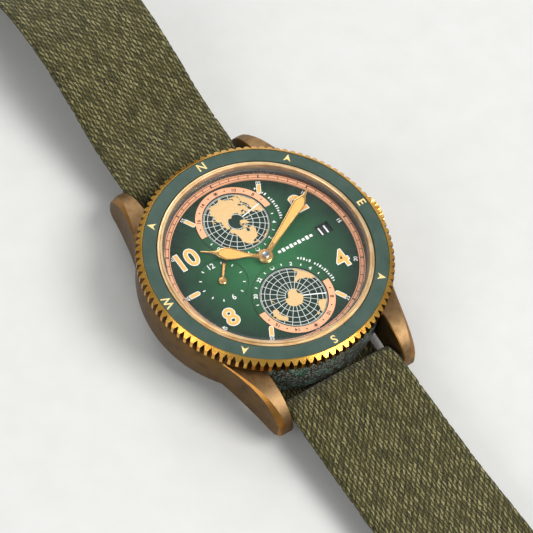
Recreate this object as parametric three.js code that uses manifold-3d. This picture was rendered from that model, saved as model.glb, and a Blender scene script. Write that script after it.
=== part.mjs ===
// An automatic travel watch with a turning compass bezel, two turning globes and a woven strap.
// Millimetres, +Z up. +X points to 3 o'clock, +Y to 12 o'clock. The watch axis is the Z axis, and z = 0 is
// the table that the strap lies on.
import * as THREE from "three";
import { mergeVertices } from "three/addons/utils/BufferGeometryUtils.js";
import Module from "manifold-3d";

const wasm = await Module();
wasm.setup();

// ---------------------------------------------------------------- driving dimensions
// Fits
const SLIP = 0.1; // a turning or sliding piece to its bearing
const SEAT = 0.03; // a fixed piece to its seat
const FACE_GAP = 0.3; // a piece above the soft band under the case

// Strap
const STRAP_WIDTH = 21.5;
const STRAP_THICK = 1.2;
const STRAP_SIDE_GAP = 0.25;
const BEND_R = 2.25; // the band's bend under the edge of the case, at its middle
const HOLE_R = 1.0;
const FIRST_HOLE = 13.6; // from the tail's end
const HOLE_PITCH = 6.5;
const HOLE_COUNT = 7;

// Movement, from the dial side down to the rotor
const MOVEMENT_R = 15.4;
const DIAL_THICK = 0.4;
const DATE_GAP = 0.12;
const DATE_THICK = 0.3;
const PLATE_THICK = 1.15;
const TRAIN_SPACE = 3.0;
const TRAIN_LEVELS = 10;
const BRIDGE_THICK = 0.9;
const ROTOR_THICK = 1.3;
const ROTOR_WEB = 0.5;
const ROTOR_GAP = 0.3;

// Case
const CASING_WALL = 0.85;
const NECK_WALL = 1.2;
const NECK_HEIGHT = 1.6;
const BACK_THICK = 1.1;
const BACK_FLANGE = 0.9; // how far the back reaches past the cavity
const CASE_INSET = 0.5; // the case band stands this far inside the bezel's teeth
const CASE_FOOT_WIDTH = 2.3; // the bevel under the case band
const CASE_FOOT_HEIGHT = 1.0;
const CASE_EDGE = 0.4;
const SHOULDER_DEPTH = 0.57; // the bezel's seat lies this far under the dial's face

// Lugs
const LUG_PAST_BAR = 2.6; // the spring bar to the lug's tip
const LUG_LENGTH = 13.3;
const LUG_BEVEL = 1.0;
// Along a lug: (short of its reach, width outside the strap gap), and (short of its reach, drop from its top)
const LUG_WIDTHS = [
  [LUG_LENGTH, 5.4], [11, 4.9], [8.8, 4.2], [6.3, 3.4], [4.3, 2.9], [1.8, 2.6], [0.6, 2.3], [-0.1, 1.6],
];
const LUG_DROPS = [[7.3, 0], [4.3, 0.6], [1.8, 1.9], [0.5, 3.4], [0, 5.0]];
const LUG_HEEL = 1.6; // the rounding under a lug's tip
const LUG_HEEL_RISE = 0.9;
const BAND_GAP = 0.18; // the case to the band that passes between it and a spring bar
const BAR_RISE = 1.5; // a spring bar above the foot of the case
const BAR_R = 0.75;
const BAR_PIN_R = 0.45;
const BAR_PIN_LENGTH = 0.9;

// Crystal and bezel
const CRYSTAL_EDGE = 1.3;
const CRYSTAL_RISE = 0.5;
const CRYSTAL_CHAMFER = 0.35;
const CRYSTAL_SEAT = 0.25; // the width that the crystal rests on
const GASKET_HEIGHT = 0.25;
const RETAINER_HEIGHT = 1.55;
const TRACK_WIDTH = 0.95;
const TRACK_HEIGHT = 0.45;
const BEZEL_LIFT = 0.25;
const BEZEL_HEIGHT = 2.65;
const BEZEL_SKIRT = 0.55;
const INSERT_WIDTH = 2.25;
const INSERT_THICK = 0.6;
const RIM_WIDTH = 0.98;
const RIM_FLAT = 0.15;
const RIM_DROP = 0.6;
const NOTCH_COUNT = 100;
const NOTCH_DEPTH = 0.5;

// Dial
const DIAL_MARGIN = 0.4; // the globe rings to the minute track
const HUB_CLEAR = 1.5; // the globe rings to the centre of the dial
const HOUR_RING_WIDTH = 1.15;
const HOUR_RING_HEIGHT = 0.13;
const GLOBE_RISE = 0.25;
const GLOBE_EDGE = 0.3;
const ZONE_DIAL_R = 4.25;
const ZONE_DIAL_DEPTH = 0.15;
const WINDOW_INSET = 3.7; // the track to the middle of the date window
const WINDOW_WIDTH = 2.6;
const WINDOW_HEIGHT = 2.1;
const DATE_RING_WIDTH = 5.0;

// Hands, each as (distance from the hub, half width) pairs along one edge
const HAND_THICK = 0.16;
const HAND_GAP = 0.3;
const HUB_R = 1.22;
const ZONE_HUB_R = 0.7;
const TIME_MINUTES = 10.35; // ten past ten
const TIME_HOURS = 10;
const ZONE_HAND_ANGLE = 38;
const HOUR_BLADE = [[1.0, 0.42], [2.2, 0.36], [4.2, 0.75], [6.2, 1.2], [7.3, 0.85], [8.2, 0.3], [10.5, 0.08]];
const MINUTE_BLADE = [
  [1.0, 0.45], [4.0, 0.5], [8.5, 0.75], [12.2, 1.0], [13.2, 0.6], [13.9, 0.22], [15.5, 0.07],
];
const ZONE_BLADE = [[0.5, 0.28], [2.2, 0.3], [3.0, 0.34], [3.8, 0.05]];
const CENTRE_R = 0.4;
const CANNON_WALL = 0.25;

// Crown
const STEM_RISE = 1.4; // the stem above the train bridge
const CROWN_R = 3.35;
const CROWN_LENGTH = 2.1;
const CROWN_GAP = 0.25;
const CROWN_FLUTES = 24;
const CROWN_FLUTE_DEPTH = 0.3;
const CROWN_BEVEL = 0.5;
const STEM_R = 0.6;
const STEM_REACH = 2.8; // how far the stem enters the movement
const TUBE_WALL = 0.65;
const SOCKET_WALL = 0.5;
const SOCKET_DEPTH = 1.3;
const STEM_GRIP = 0.4; // the stem's depth in the crown past the socket
const CROWN_SEAL_START = 0.1; // from the crown's inner end
const CROWN_SEAL_WIDTH = 0.35;
const TUBE_IN_CROWN = 1.15;

// Going train: pitch radii of the wheels and pinions
const ARBOR_R = 0.28;
const PIVOT_R = 0.16;
const BARREL_R = 5.4;
const CENTRE_WHEEL_R = 3.9;
const CENTRE_PINION_R = 1.0;
const THIRD_WHEEL_R = 3.2;
const THIRD_PINION_R = 0.49;
const FOURTH_WHEEL_R = 2.9;
const FOURTH_PINION_R = 0.43;
const ESCAPE_WHEEL_R = 2.0;
const ESCAPE_PINION_R = 0.45;
const BALANCE_R = 3.6;
const BALANCE_RIM = 0.5;
const FORK_TO_ESCAPE = 2.9;
const FORK_TO_BALANCE = 5.0;
const HOUR_WHEEL_R = 2.4;
const ZONE_WHEEL_R = 3.6;
const TRAIN_GAP = 0.1; // between the tip circles of a wheel and its pinion
const BARREL_ANGLE = 225;
const THIRD_ANGLE = 100;
const FOURTH_ANGLE = 20;
const ESCAPE_ANGLE = -20;
const FORK_ANGLE = -50;
const BALANCE_ANGLE = -85;
const TOOTH = 0.2;
const PILLAR_R = 1.1;
const COCK_FOOT_R = 1.6;
const ROTOR_RIM_WIDTH = 2.6;
const ROTOR_HUB_R = 3.0;
const ROTOR_AXLE_R = 1.6;
const ROTOR_CAP_R = 2.1;
const ROTOR_FOOT_R = 2.3;

// Buckle
const BUCKLE_OUT = 80.3; // past the spring bar
const BUCKLE_BAR_R = 0.8;
const BUCKLE_FRAME_WIDTH = 2.3;
const BUCKLE_FRAME_LENGTH = 13.2;
const BUCKLE_FRAME_THICK = 2.0;
const BUCKLE_RAIL = 2.6;
const BUCKLE_CORNER = 2.2;
const TONGUE_WIDTH = 2.2;
const TONGUE_THICK = 0.9;
const FOLD_LENGTH = 8;
const KEEPER_WALL = 0.7;
const KEEPER_WIDTH = 4.0;
const FIXED_KEEPER_OUT = 73.5;
const SLIDING_KEEPER_OUT = 65.3;
const BUCKLE_SIDE_GAP = 0.4;
const BUCKLE_HEEL = 0.8; // the frame behind its bar
const TONGUE_WALL = 0.75;
const TONGUE_REACH = 0.7; // past the frame's rail

// Facets of a full turn
const RING_FACETS = 48;
const PART_FACETS = 24;
const PIN_FACETS = 16;
const PIVOT_FACETS = 8;

// ---------------------------------------------------------------- sizes that follow from them
const BACK_Z = STRAP_THICK + FACE_GAP;
const CASE_Z = BACK_Z + BACK_THICK;
const ROTOR_Z = CASE_Z + ROTOR_GAP + ROTOR_WEB;
const BRIDGE_Z = ROTOR_Z + ROTOR_THICK + ROTOR_GAP;
const TRAIN_Z = BRIDGE_Z + BRIDGE_THICK;
const PLATE_Z = TRAIN_Z + TRAIN_SPACE;
const DATE_Z = PLATE_Z + PLATE_THICK + DATE_GAP;
const DIAL_Z = DATE_Z + DATE_THICK + DATE_GAP;
const DIAL_TOP = DIAL_Z + DIAL_THICK;
const SHOULDER_Z = DIAL_TOP - SHOULDER_DEPTH;
const NECK_TOP = SHOULDER_Z + NECK_HEIGHT;
const BEZEL_Z = SHOULDER_Z + BEZEL_LIFT;
const BEZEL_TOP = BEZEL_Z + BEZEL_HEIGHT;
const INSERT_Z = BEZEL_TOP - INSERT_THICK;
const CRYSTAL_Z = NECK_TOP + GASKET_HEIGHT + SEAT;

const CASING_IN = MOVEMENT_R + SEAT;
const CASING_OUT = CASING_IN + CASING_WALL;
const CAVITY_R = CASING_OUT + SLIP;
const NECK_R = CAVITY_R + NECK_WALL;
const CRYSTAL_R = CAVITY_R + CRYSTAL_SEAT;
const RETAINER_IN = CRYSTAL_R + SLIP;
const BEZEL_IN = NECK_R + SLIP;
const INSERT_IN = BEZEL_IN + SEAT;
const INSERT_OUT = INSERT_IN + INSERT_WIDTH;
const RIM_IN = INSERT_OUT + SEAT;
const TIP_R = RIM_IN + RIM_WIDTH;
const VALLEY_R = TIP_R - NOTCH_DEPTH;
const CASE_R = TIP_R - CASE_INSET;
const BACK_R = CAVITY_R + BACK_FLANGE;
const BACK_SEAL_R = CAVITY_R + BACK_FLANGE / 2;

const TRACK_IN = CAVITY_R - SEAT - TRACK_WIDTH;
const RING_OUT = (TRACK_IN - DIAL_MARGIN - HUB_CLEAR) / 2;
const RING_IN = RING_OUT - HOUR_RING_WIDTH;
const SUBDIAL_Y = HUB_CLEAR + RING_OUT;
const GLOBE_R = RING_IN - SLIP;
const WINDOW_X = TRACK_IN - WINDOW_INSET;
const LUG_GAP = STRAP_WIDTH + 2 * STRAP_SIDE_GAP;
const LOOP_R = BAR_R + SLIP + STRAP_THICK / 2; // the band's middle round a spring bar
const BAR_Y = CASE_R + BAND_GAP + STRAP_THICK / 2 + LOOP_R;
const BAR_Z = CASE_Z + BAR_RISE;
const LUG_REACH = BAR_Y + LUG_PAST_BAR;
const LUG_ROOT_Y = LUG_REACH - LUG_LENGTH;
const CROWN_Z = TRAIN_Z + STEM_RISE;
const BUCKLE_Y = BAR_Y + BUCKLE_OUT;
const FIXED_KEEPER_Y = BAR_Y + FIXED_KEEPER_OUT;
const SLIDING_KEEPER_Y = BAR_Y + SLIDING_KEEPER_OUT;
const CANNON_IN = CENTRE_R + SEAT;
const CANNON_OUT = CANNON_IN + CANNON_WALL;
const HOUR_TUBE_IN = CANNON_OUT + SLIP;
const HOUR_TUBE_OUT = HOUR_TUBE_IN + CANNON_WALL;
const HOUR_HAND_Z = DIAL_TOP + HOUR_RING_HEIGHT + 2 * HAND_GAP;
const MINUTE_HAND_Z = HOUR_HAND_Z + HAND_THICK + HAND_GAP / 2;
const ZONE_HAND_Z = DIAL_TOP + SLIP / 2;
const HUB_TOP = MINUTE_HAND_Z + HAND_THICK + HAND_GAP;
const CROWN_X = CASE_R + CROWN_GAP;
const TUBE_IN = STEM_R + SLIP;
const TUBE_OUT = TUBE_IN + TUBE_WALL;
const SOCKET_R = TUBE_OUT + SOCKET_WALL;
const STEM_START = MOVEMENT_R - STEM_REACH;
const EYE_R = BUCKLE_BAR_R + SLIP + STRAP_THICK;
const BUCKLE_Z = EYE_R;
const DEG = Math.PI / 180;

// ---------------------------------------------------------------- finishes
const finish = (color, metalness, roughness) =>
  new THREE.MeshStandardMaterial({ color, metalness, roughness });
const BRONZE = () => finish(0x8a6a3c, 0.9, 0.45);
const BRIGHT_BRONZE = () => finish(0xd9a24a, 1, 0.25);
const STEEL = () => finish(0xb9bcc0, 1, 0.3);
const BRASS = () => finish(0xc9a35a, 1, 0.35);
const COPPER = () => finish(0xe8b088, 0.3, 0.5);
const GREEN = () => finish(0x1f5a38, 0.1, 0.4);
const INSERT_GREEN = () => finish(0x4b6255, 0.1, 0.4);
const BLACK = () => finish(0x141414, 0, 0.6);
const GLASS = () => finish(0xe8eeee, 0, 0.05);
const OLIVE = () => finish(0x645f3c, 0, 0.9);
const RUBBER = () => finish(0x1b1b1b, 0, 0.8);

// ---------------------------------------------------------------- solid tools
/** A closed three.js geometry as a manifold-3d solid, with its faces pointing out. */
function solid(geometry) {
  const bare = geometry.clone();
  bare.deleteAttribute("normal");
  bare.deleteAttribute("uv");
  const merged = mergeVertices(bare.index ? bare.toNonIndexed() : bare, 1e-4);
  const vertProperties = merged.attributes.position.array;
  const make = (triVerts) => new wasm.Manifold(new wasm.Mesh({ numProp: 3, vertProperties, triVerts }));
  const facing = make(new Uint32Array(merged.index.array));
  return facing.volume() < 0 ? make(new Uint32Array(merged.index.array).reverse()) : facing;
}

/** A manifold-3d solid as a three.js geometry. */
function surface(body) {
  const { vertProperties, triVerts } = body.getMesh();
  return new THREE.BufferGeometry()
    .setAttribute("position", new THREE.BufferAttribute(new Float32Array(vertProperties), 3))
    .setIndex(new THREE.BufferAttribute(new Uint32Array(triVerts), 1));
}

const join = (...pieces) => surface(pieces.map(solid).reduce((a, b) => a.add(b)));
const cut = (base, ...tools) => surface(tools.map(solid).reduce((a, b) => a.subtract(b), solid(base)));
const common = (...pieces) => surface(pieces.map(solid).reduce((a, b) => a.intersect(b)));

/** A named piece of the watch. */
function piece(name, geometry, material, x = 0, y = 0, z = 0) {
  const mesh = new THREE.Mesh(surface(solid(geometry)), material);
  mesh.name = name;
  mesh.position.set(x, y, z);
  return mesh;
}

/** A body turned about the Z axis from (radius, height) points. It closes on itself or on the axis. */
function turned(profile, facets = RING_FACETS) {
  const points = profile.map(([r, z]) => new THREE.Vector2(r, z));
  if (profile.some(([r]) => r > 0) && profile[0][0] > 0) points.push(points[0].clone());
  return new THREE.LatheGeometry(points, facets).rotateX(Math.PI / 2);
}

const ring = (rIn, rOut, z0, z1, facets) => turned([[rIn, z0], [rOut, z0], [rOut, z1], [rIn, z1]], facets);
const rod = (r, z0, z1, facets = PIN_FACETS) => turned([[0, z0], [r, z0], [r, z1], [0, z1]], facets);

/** A closed outline of [u, v] points. */
const outline = (points) => new THREE.Shape(points.map(([u, v]) => new THREE.Vector2(u, v)));

/** An outline in X and Y, raised from z0 to z1. */
const prism = (shape, z0, z1) =>
  new THREE.ExtrudeGeometry(shape, { depth: z1 - z0, bevelEnabled: false }).translate(0, 0, z0);

const YZ_TO_X = new THREE.Matrix4().set(0, 0, 1, 0, 1, 0, 0, 0, 0, 1, 0, 0, 0, 0, 0, 1);
const AXIS_TO_X = new THREE.Matrix4().makeRotationY(Math.PI / 2);

/** An outline in Y and Z, drawn out from x0 to x1. */
const prismX = (shape, x0, x1) => prism(shape, x0, x1).applyMatrix4(YZ_TO_X);

/** A rod along X through (y, z). */
const rodX = (r, x0, x1, y, z, facets = PIN_FACETS) =>
  rod(r, x0, x1, facets).applyMatrix4(AXIS_TO_X).translate(0, y, z);

const box = (x0, x1, y0, y1, z0, z1) =>
  new THREE.BoxGeometry(x1 - x0, y1 - y0, z1 - z0).translate((x0 + x1) / 2, (y0 + y1) / 2, (z0 + z1) / 2);

/** The outline of a toothed wheel: a tip and a valley for each tooth. */
const toothed = (rTip, rValley, teeth) =>
  outline(
    Array.from({ length: 2 * teeth }, (_, i) => {
      const r = i % 2 ? rValley : rTip;
      return [r * Math.cos((Math.PI * i) / teeth), r * Math.sin((Math.PI * i) / teeth)];
    }),
  );

/** Points on an arc round (u, v), from one angle to another in degrees. */
const arc = (u, v, r, from, to, steps) =>
  Array.from({ length: steps + 1 }, (_, i) => {
    const a = (from + ((to - from) * i) / steps) * DEG;
    return [u + r * Math.cos(a), v + r * Math.sin(a)];
  });

const polar = (distance, angle, x = 0, y = 0) => [
  x + distance * Math.cos(angle * DEG),
  y + distance * Math.sin(angle * DEG),
];

// ---------------------------------------------------------------- case
const LUG_SIDES = [[1, 1], [1, -1], [-1, 1], [-1, -1]];

/** One lug: its side view drawn across its width, trimmed to its plan, with a bevel along its outer edge. */
function lug(side, end) {
  const inner = LUG_GAP / 2;
  const bottom = CASE_Z + SEAT;
  const top = SHOULDER_Z - CASE_EDGE;
  const outerEdge = LUG_WIDTHS.map(([short, width]) => [inner + width, LUG_REACH - short]);
  const [rootOuter] = outerEdge[0];
  const beyond = rootOuter + 1;
  const sideView = outline([
    [LUG_ROOT_Y, top],
    [LUG_ROOT_Y, bottom],
    [LUG_REACH - LUG_HEEL, bottom - SEAT],
    [LUG_REACH, bottom + LUG_HEEL_RISE],
    ...LUG_DROPS.map(([short, drop]) => [LUG_REACH - short, top - drop]).reverse(),
  ]);
  const plan = outline([[inner, LUG_ROOT_Y], ...outerEdge, [inner, LUG_REACH + SLIP]]);
  const bevelStrip = outline([
    ...outerEdge.map(([x, y], i) => [x - (LUG_BEVEL * (i + 1)) / outerEdge.length, y]),
    [beyond, LUG_REACH + 1],
    [beyond, LUG_ROOT_Y],
  ]);
  const body = common(prismX(sideView, inner, rootOuter), prism(plan, 0, NECK_TOP));
  const lowered = prismX(sideView, inner, rootOuter).translate(0, 0, -LUG_BEVEL);
  const trimmed = join(cut(body, prism(bevelStrip, 0, NECK_TOP)), common(body, lowered));
  return trimmed.scale(side, end, 1);
}

function caseMiddle() {
  const band = turned([
    [BACK_SEAL_R + BACK_FLANGE / 4, CASE_Z],
    [CASE_R - CASE_FOOT_WIDTH, CASE_Z],
    [CASE_R - CASE_EDGE, CASE_Z + CASE_FOOT_HEIGHT],
    [CASE_R, CASE_Z + CASE_FOOT_HEIGHT + 2 * CASE_EDGE],
    [CASE_R, SHOULDER_Z - CASE_EDGE],
    [CASE_R - CASE_EDGE, SHOULDER_Z],
    [NECK_R, SHOULDER_Z],
    [NECK_R, NECK_TOP],
    [CAVITY_R, NECK_TOP],
    [CAVITY_R, CASE_Z + ROTOR_WEB],
    [BACK_SEAL_R + BACK_FLANGE / 4, CASE_Z + ROTOR_WEB],
  ]);
  const bore = rod(CAVITY_R + SEAT, 0, NECK_TOP + 1, RING_FACETS);
  const inside = rod(CASE_R - 1, 0, NECK_TOP + 1, RING_FACETS);
  const lugs = LUG_SIDES.map(([side, end]) => cut(lug(side, end), inside));
  const pinHoles = [BAR_Y, -BAR_Y].flatMap((y) => {
    const reach = LUG_GAP / 2 + BAR_PIN_LENGTH + SLIP;
    return [rodX(BAR_PIN_R + SLIP, -reach, reach, y, BAR_Z, PIVOT_FACETS)];
  });
  const tubeHole = rodX(TUBE_OUT + SEAT, CAVITY_R - 1, CASE_R + 1, 0, CROWN_Z);
  return piece("case_middle", cut(cut(join(band, ...lugs), ...pinHoles), tubeHole), BRONZE());
}

function caseBack() {
  const boss = CAVITY_R - SLIP;
  const body = turned([
    [0, BACK_Z],
    [BACK_R - 1.2, BACK_Z],
    [BACK_R, BACK_Z + BACK_THICK / 2],
    [BACK_R, CASE_Z - SEAT],
    [boss, CASE_Z - SEAT],
    [boss, CASE_Z + ROTOR_WEB + ROTOR_GAP],
    [boss - 0.7, CASE_Z + ROTOR_WEB + ROTOR_GAP],
    [boss - 0.7, CASE_Z - SEAT],
    [0, CASE_Z - SEAT],
  ]);
  const notches = arc(0, 0, BACK_R - 0.5, 30, 330, 5).map(([x, y]) =>
    rod(0.8, BACK_Z - 1, BACK_Z + 0.4, 6).translate(x, y, 0),
  );
  return piece("case_back", cut(body, ...notches), STEEL());
}

const caseBackGasket = () =>
  piece(
    "case_back_gasket",
    ring(BACK_SEAL_R - 0.2, BACK_SEAL_R + 0.15, CASE_Z, CASE_Z + ROTOR_WEB - SEAT, PART_FACETS),
    RUBBER(),
  );

function springBar(name, end) {
  const half = STRAP_WIDTH / 2 + SLIP;
  const pin = LUG_GAP / 2 + BAR_PIN_LENGTH;
  const profile = [
    [0, -pin], [BAR_PIN_R, -pin], [BAR_PIN_R, -half], [BAR_R, -half],
    [BAR_R, half], [BAR_PIN_R, half], [BAR_PIN_R, pin], [0, pin],
  ];
  const geometry = turned(profile, PIVOT_FACETS * 1.5).applyMatrix4(AXIS_TO_X);
  return piece(name, geometry, STEEL(), 0, end * BAR_Y, BAR_Z);
}

function crystalParts() {
  const bottom = CRYSTAL_Z;
  const edgeTop = bottom + CRYSTAL_EDGE;
  const crystal = turned(
    [
      [0, bottom + CRYSTAL_RISE],
      [CRYSTAL_R * 0.6, bottom + CRYSTAL_RISE * 0.62],
      [CRYSTAL_R - 0.6, bottom],
      [CRYSTAL_R, bottom],
      [CRYSTAL_R, edgeTop - CRYSTAL_CHAMFER],
      [CRYSTAL_R - CRYSTAL_CHAMFER, edgeTop],
      [CRYSTAL_R * 0.6, edgeTop + CRYSTAL_RISE * 0.62],
      [0, edgeTop + CRYSTAL_RISE],
    ],
    RING_FACETS,
  );
  const top = NECK_TOP + RETAINER_HEIGHT;
  const retainer = turned([
    [RETAINER_IN, NECK_TOP],
    [NECK_R, NECK_TOP],
    [NECK_R, top - 0.3],
    [NECK_R - 0.25, top],
    [RETAINER_IN + 0.2, top],
    [RETAINER_IN, top - 0.2],
  ]);
  const gasket = ring(CAVITY_R + SEAT, CRYSTAL_R, NECK_TOP, NECK_TOP + GASKET_HEIGHT, PART_FACETS);
  return [
    piece("crystal", crystal, GLASS()),
    piece("crystal_ring", retainer, BRIGHT_BRONZE()),
    piece("crystal_gasket", gasket, RUBBER()),
  ];
}

// ---------------------------------------------------------------- bezel
function bezelRing() {
  const teethZ = BEZEL_Z + BEZEL_SKIRT;
  const base = turned([
    [BEZEL_IN, BEZEL_Z],
    [VALLEY_R - 0.1, BEZEL_Z],
    [VALLEY_R - 0.1, teethZ + SEAT],
    [RIM_IN, INSERT_Z],
    [BEZEL_IN, INSERT_Z],
  ]);
  const teeth = prism(toothed(TIP_R, VALLEY_R, NOTCH_COUNT), teethZ, BEZEL_TOP);
  const envelope = turned([
    [RIM_IN, BEZEL_Z],
    [TIP_R + 1, BEZEL_Z],
    [TIP_R + 1, BEZEL_TOP - RIM_DROP - RIM_DROP / (RIM_WIDTH - RIM_FLAT)],
    [RIM_IN + RIM_FLAT, BEZEL_TOP],
    [RIM_IN, BEZEL_TOP],
  ]);
  return piece("bezel_ring", join(base, common(teeth, envelope)), BRIGHT_BRONZE());
}

const bezelInsert = () =>
  piece("bezel_insert", ring(INSERT_IN, INSERT_OUT, INSERT_Z + SEAT, BEZEL_TOP), INSERT_GREEN());

function bezelSeals() {
  const low = SHOULDER_Z + SEAT;
  const high = BEZEL_Z - SEAT;
  const middle = (NECK_R + CASE_R) / 2;
  return [
    piece("bezel_gasket", ring(middle - 0.9, middle - 0.3, low, high, PART_FACETS), RUBBER()),
    piece("bezel_click_spring", ring(middle + 0.1, middle + 0.7, low, high - SLIP, PART_FACETS), STEEL()),
  ];
}

// ---------------------------------------------------------------- crown
function crownParts() {
  const innerEnd = CROWN_X;
  const outerEnd = CROWN_X + CROWN_LENGTH;
  const core = CROWN_R - CROWN_FLUTE_DEPTH;
  const flutes = prism(toothed(CROWN_R, core, CROWN_FLUTES), innerEnd + 0.3, outerEnd - CROWN_BEVEL);
  const body = turned(
    [[0, innerEnd], [core, innerEnd], [core, outerEnd - 0.25], [core - 0.5, outerEnd], [0, outerEnd]],
    CROWN_FLUTES,
  );
  const socketEnd = innerEnd + SOCKET_DEPTH;
  const stemEnd = socketEnd + STEM_GRIP;
  const socket = rod(SOCKET_R, innerEnd - 1, socketEnd);
  const bore = rod(STEM_R + SEAT, innerEnd - 1, stemEnd + SEAT);
  const crown = cut(join(body, flutes), socket, bore).applyMatrix4(AXIS_TO_X);
  const sealStart = innerEnd + CROWN_SEAL_START;
  const sealEnd = sealStart + CROWN_SEAL_WIDTH;
  const seal = ring(TUBE_OUT + SLIP / 2, SOCKET_R - SLIP / 2, sealStart, sealEnd, PIN_FACETS);
  const stem = rod(STEM_R, STEM_START, stemEnd).applyMatrix4(AXIS_TO_X);
  const tube = ring(TUBE_IN, TUBE_OUT, CASING_OUT + SLIP, innerEnd + TUBE_IN_CROWN, PIN_FACETS);
  return {
    crown: piece("crown", crown, BRIGHT_BRONZE(), 0, 0, CROWN_Z),
    seal: piece("crown_gasket", seal.applyMatrix4(AXIS_TO_X), RUBBER(), 0, 0, CROWN_Z),
    stem: piece("crown_stem", stem, STEEL(), 0, 0, CROWN_Z),
    tube: piece("crown_tube", tube.applyMatrix4(AXIS_TO_X), STEEL(), 0, 0, CROWN_Z),
  };
}

// ---------------------------------------------------------------- dial side
const SUBDIALS = { north: [0, SUBDIAL_Y], south: [0, -SUBDIAL_Y], zone: [-SUBDIAL_Y, 0] };

function dial() {
  const disc = rod(CASING_OUT, DIAL_Z, DIAL_TOP, RING_FACETS);
  const openings = [SUBDIALS.north, SUBDIALS.south].map(([x, y]) =>
    rod(RING_IN, DIAL_Z - 1, DIAL_TOP + 1, PART_FACETS).translate(x, y, 0),
  );
  const [zoneX, zoneY] = SUBDIALS.zone;
  const floor = DIAL_TOP - ZONE_DIAL_DEPTH;
  const recess = rod(ZONE_DIAL_R, floor, DIAL_TOP + 1, PART_FACETS).translate(zoneX, zoneY, 0);
  const zoneHole = rod(CENTRE_R + SLIP, DIAL_Z - 1, DIAL_TOP, PIVOT_FACETS).translate(zoneX, zoneY, 0);
  const hub = rod(HOUR_TUBE_OUT + SLIP, DIAL_Z - 1, DIAL_TOP + 1);
  const window = box(
    WINDOW_X - WINDOW_WIDTH / 2, WINDOW_X + WINDOW_WIDTH / 2,
    -WINDOW_HEIGHT / 2, WINDOW_HEIGHT / 2,
    DIAL_Z - 1, DIAL_TOP + 1,
  );
  return piece("dial", cut(disc, ...openings, recess, zoneHole, hub, window), GREEN());
}

const hourRing = (name, [x, y]) =>
  piece(name, ring(RING_IN, RING_OUT, 0, HOUR_RING_HEIGHT, PART_FACETS), COPPER(), x, y, DIAL_TOP);

/** A globe: a low dome on an arbor that stands in the mainplate. */
function globe(name, [x, y]) {
  const rim = DIAL_TOP - SLIP;
  const arbor = CENTRE_R - SEAT;
  const profile = [
    [0, PLATE_Z + SLIP], [arbor, PLATE_Z + SLIP], [arbor, rim - GLOBE_EDGE], [GLOBE_R, rim - GLOBE_EDGE],
    [GLOBE_R, rim], [GLOBE_R * 0.75, rim + GLOBE_RISE * 0.44], [GLOBE_R * 0.4, rim + GLOBE_RISE * 0.84],
    [0, rim + GLOBE_RISE],
  ];
  return piece(name, turned(profile, PART_FACETS), GREEN(), x, y, 0);
}

const minuteTrack = () =>
  piece(
    "minute_track_ring",
    turned([
      [TRACK_IN, DIAL_TOP],
      [CAVITY_R - SEAT, DIAL_TOP],
      [CAVITY_R - SEAT, DIAL_TOP + TRACK_HEIGHT],
      [TRACK_IN, DIAL_TOP + TRACK_HEIGHT / 3],
    ]),
    COPPER(),
  );

const dateDisc = () =>
  piece(
    "date_disc",
    ring(WINDOW_X - DATE_RING_WIDTH / 2, WINDOW_X + DATE_RING_WIDTH / 2, DATE_Z, DATE_Z + DATE_THICK),
    BLACK(),
  );

/** A hand along +Y, from its blade's edge points, with a boss round its hole. */
function handShape(blade, hubR, holeR, z0, z1) {
  const right = blade.map(([r, w]) => [w, r]);
  const left = blade.map(([r, w]) => [-w, r]).reverse();
  const solidHand = join(prism(outline([...right, ...left]), z0, z1), rod(hubR, z0, z1));
  return cut(solidHand, rod(holeR, z0 - 1, z1 + 1));
}

/** Clock degrees (clockwise from 12) as a turn about +Z. */
const clockwise = (degrees) => -degrees * DEG;

function handParts() {
  const hourAngle = clockwise(TIME_HOURS * 30 + TIME_MINUTES / 2);
  const minuteAngle = clockwise(TIME_MINUTES * 6);
  const hourZ = [HOUR_HAND_Z, HOUR_HAND_Z + HAND_THICK];
  const minuteZ = [MINUTE_HAND_Z, MINUTE_HAND_Z + HAND_THICK];
  const hour = handShape(HOUR_BLADE, HUB_R + 0.1, HOUR_TUBE_OUT + SEAT, ...hourZ).rotateZ(hourAngle);
  const minute = handShape(MINUTE_BLADE, HUB_R, CANNON_OUT + SEAT, ...minuteZ).rotateZ(minuteAngle);
  const wheelZ = PLATE_Z + PLATE_THICK + SEAT;
  const hourWheel = join(
    prism(toothed(HOUR_WHEEL_R, HOUR_WHEEL_R - TOOTH, PIN_FACETS), wheelZ, wheelZ + DATE_THICK),
    rod(HOUR_TUBE_OUT, wheelZ, HOUR_HAND_Z + HAND_THICK),
  );
  const cannon = ring(CANNON_IN, CANNON_OUT, PLATE_Z + SLIP, MINUTE_HAND_Z + HAND_THICK, PIN_FACETS);
  const [zoneX, zoneY] = SUBDIALS.zone;
  const zone = handShape(ZONE_BLADE, ZONE_HUB_R, CENTRE_R, ZONE_HAND_Z, ZONE_HAND_Z + HAND_THICK)
    .rotateZ(clockwise(ZONE_HAND_ANGLE));
  return {
    hourHand: piece("hour_hand", hour, COPPER()),
    minuteHand: piece("minute_hand", minute, COPPER()),
    hourWheel: piece("hour_wheel", cut(hourWheel, rod(HOUR_TUBE_IN, 0, HUB_TOP)), BRASS()),
    cannonPinion: piece("cannon_pinion", cannon, STEEL()),
    zoneHand: piece("second_zone_hand", zone, COPPER(), zoneX, zoneY, 0),
  };
}

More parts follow.
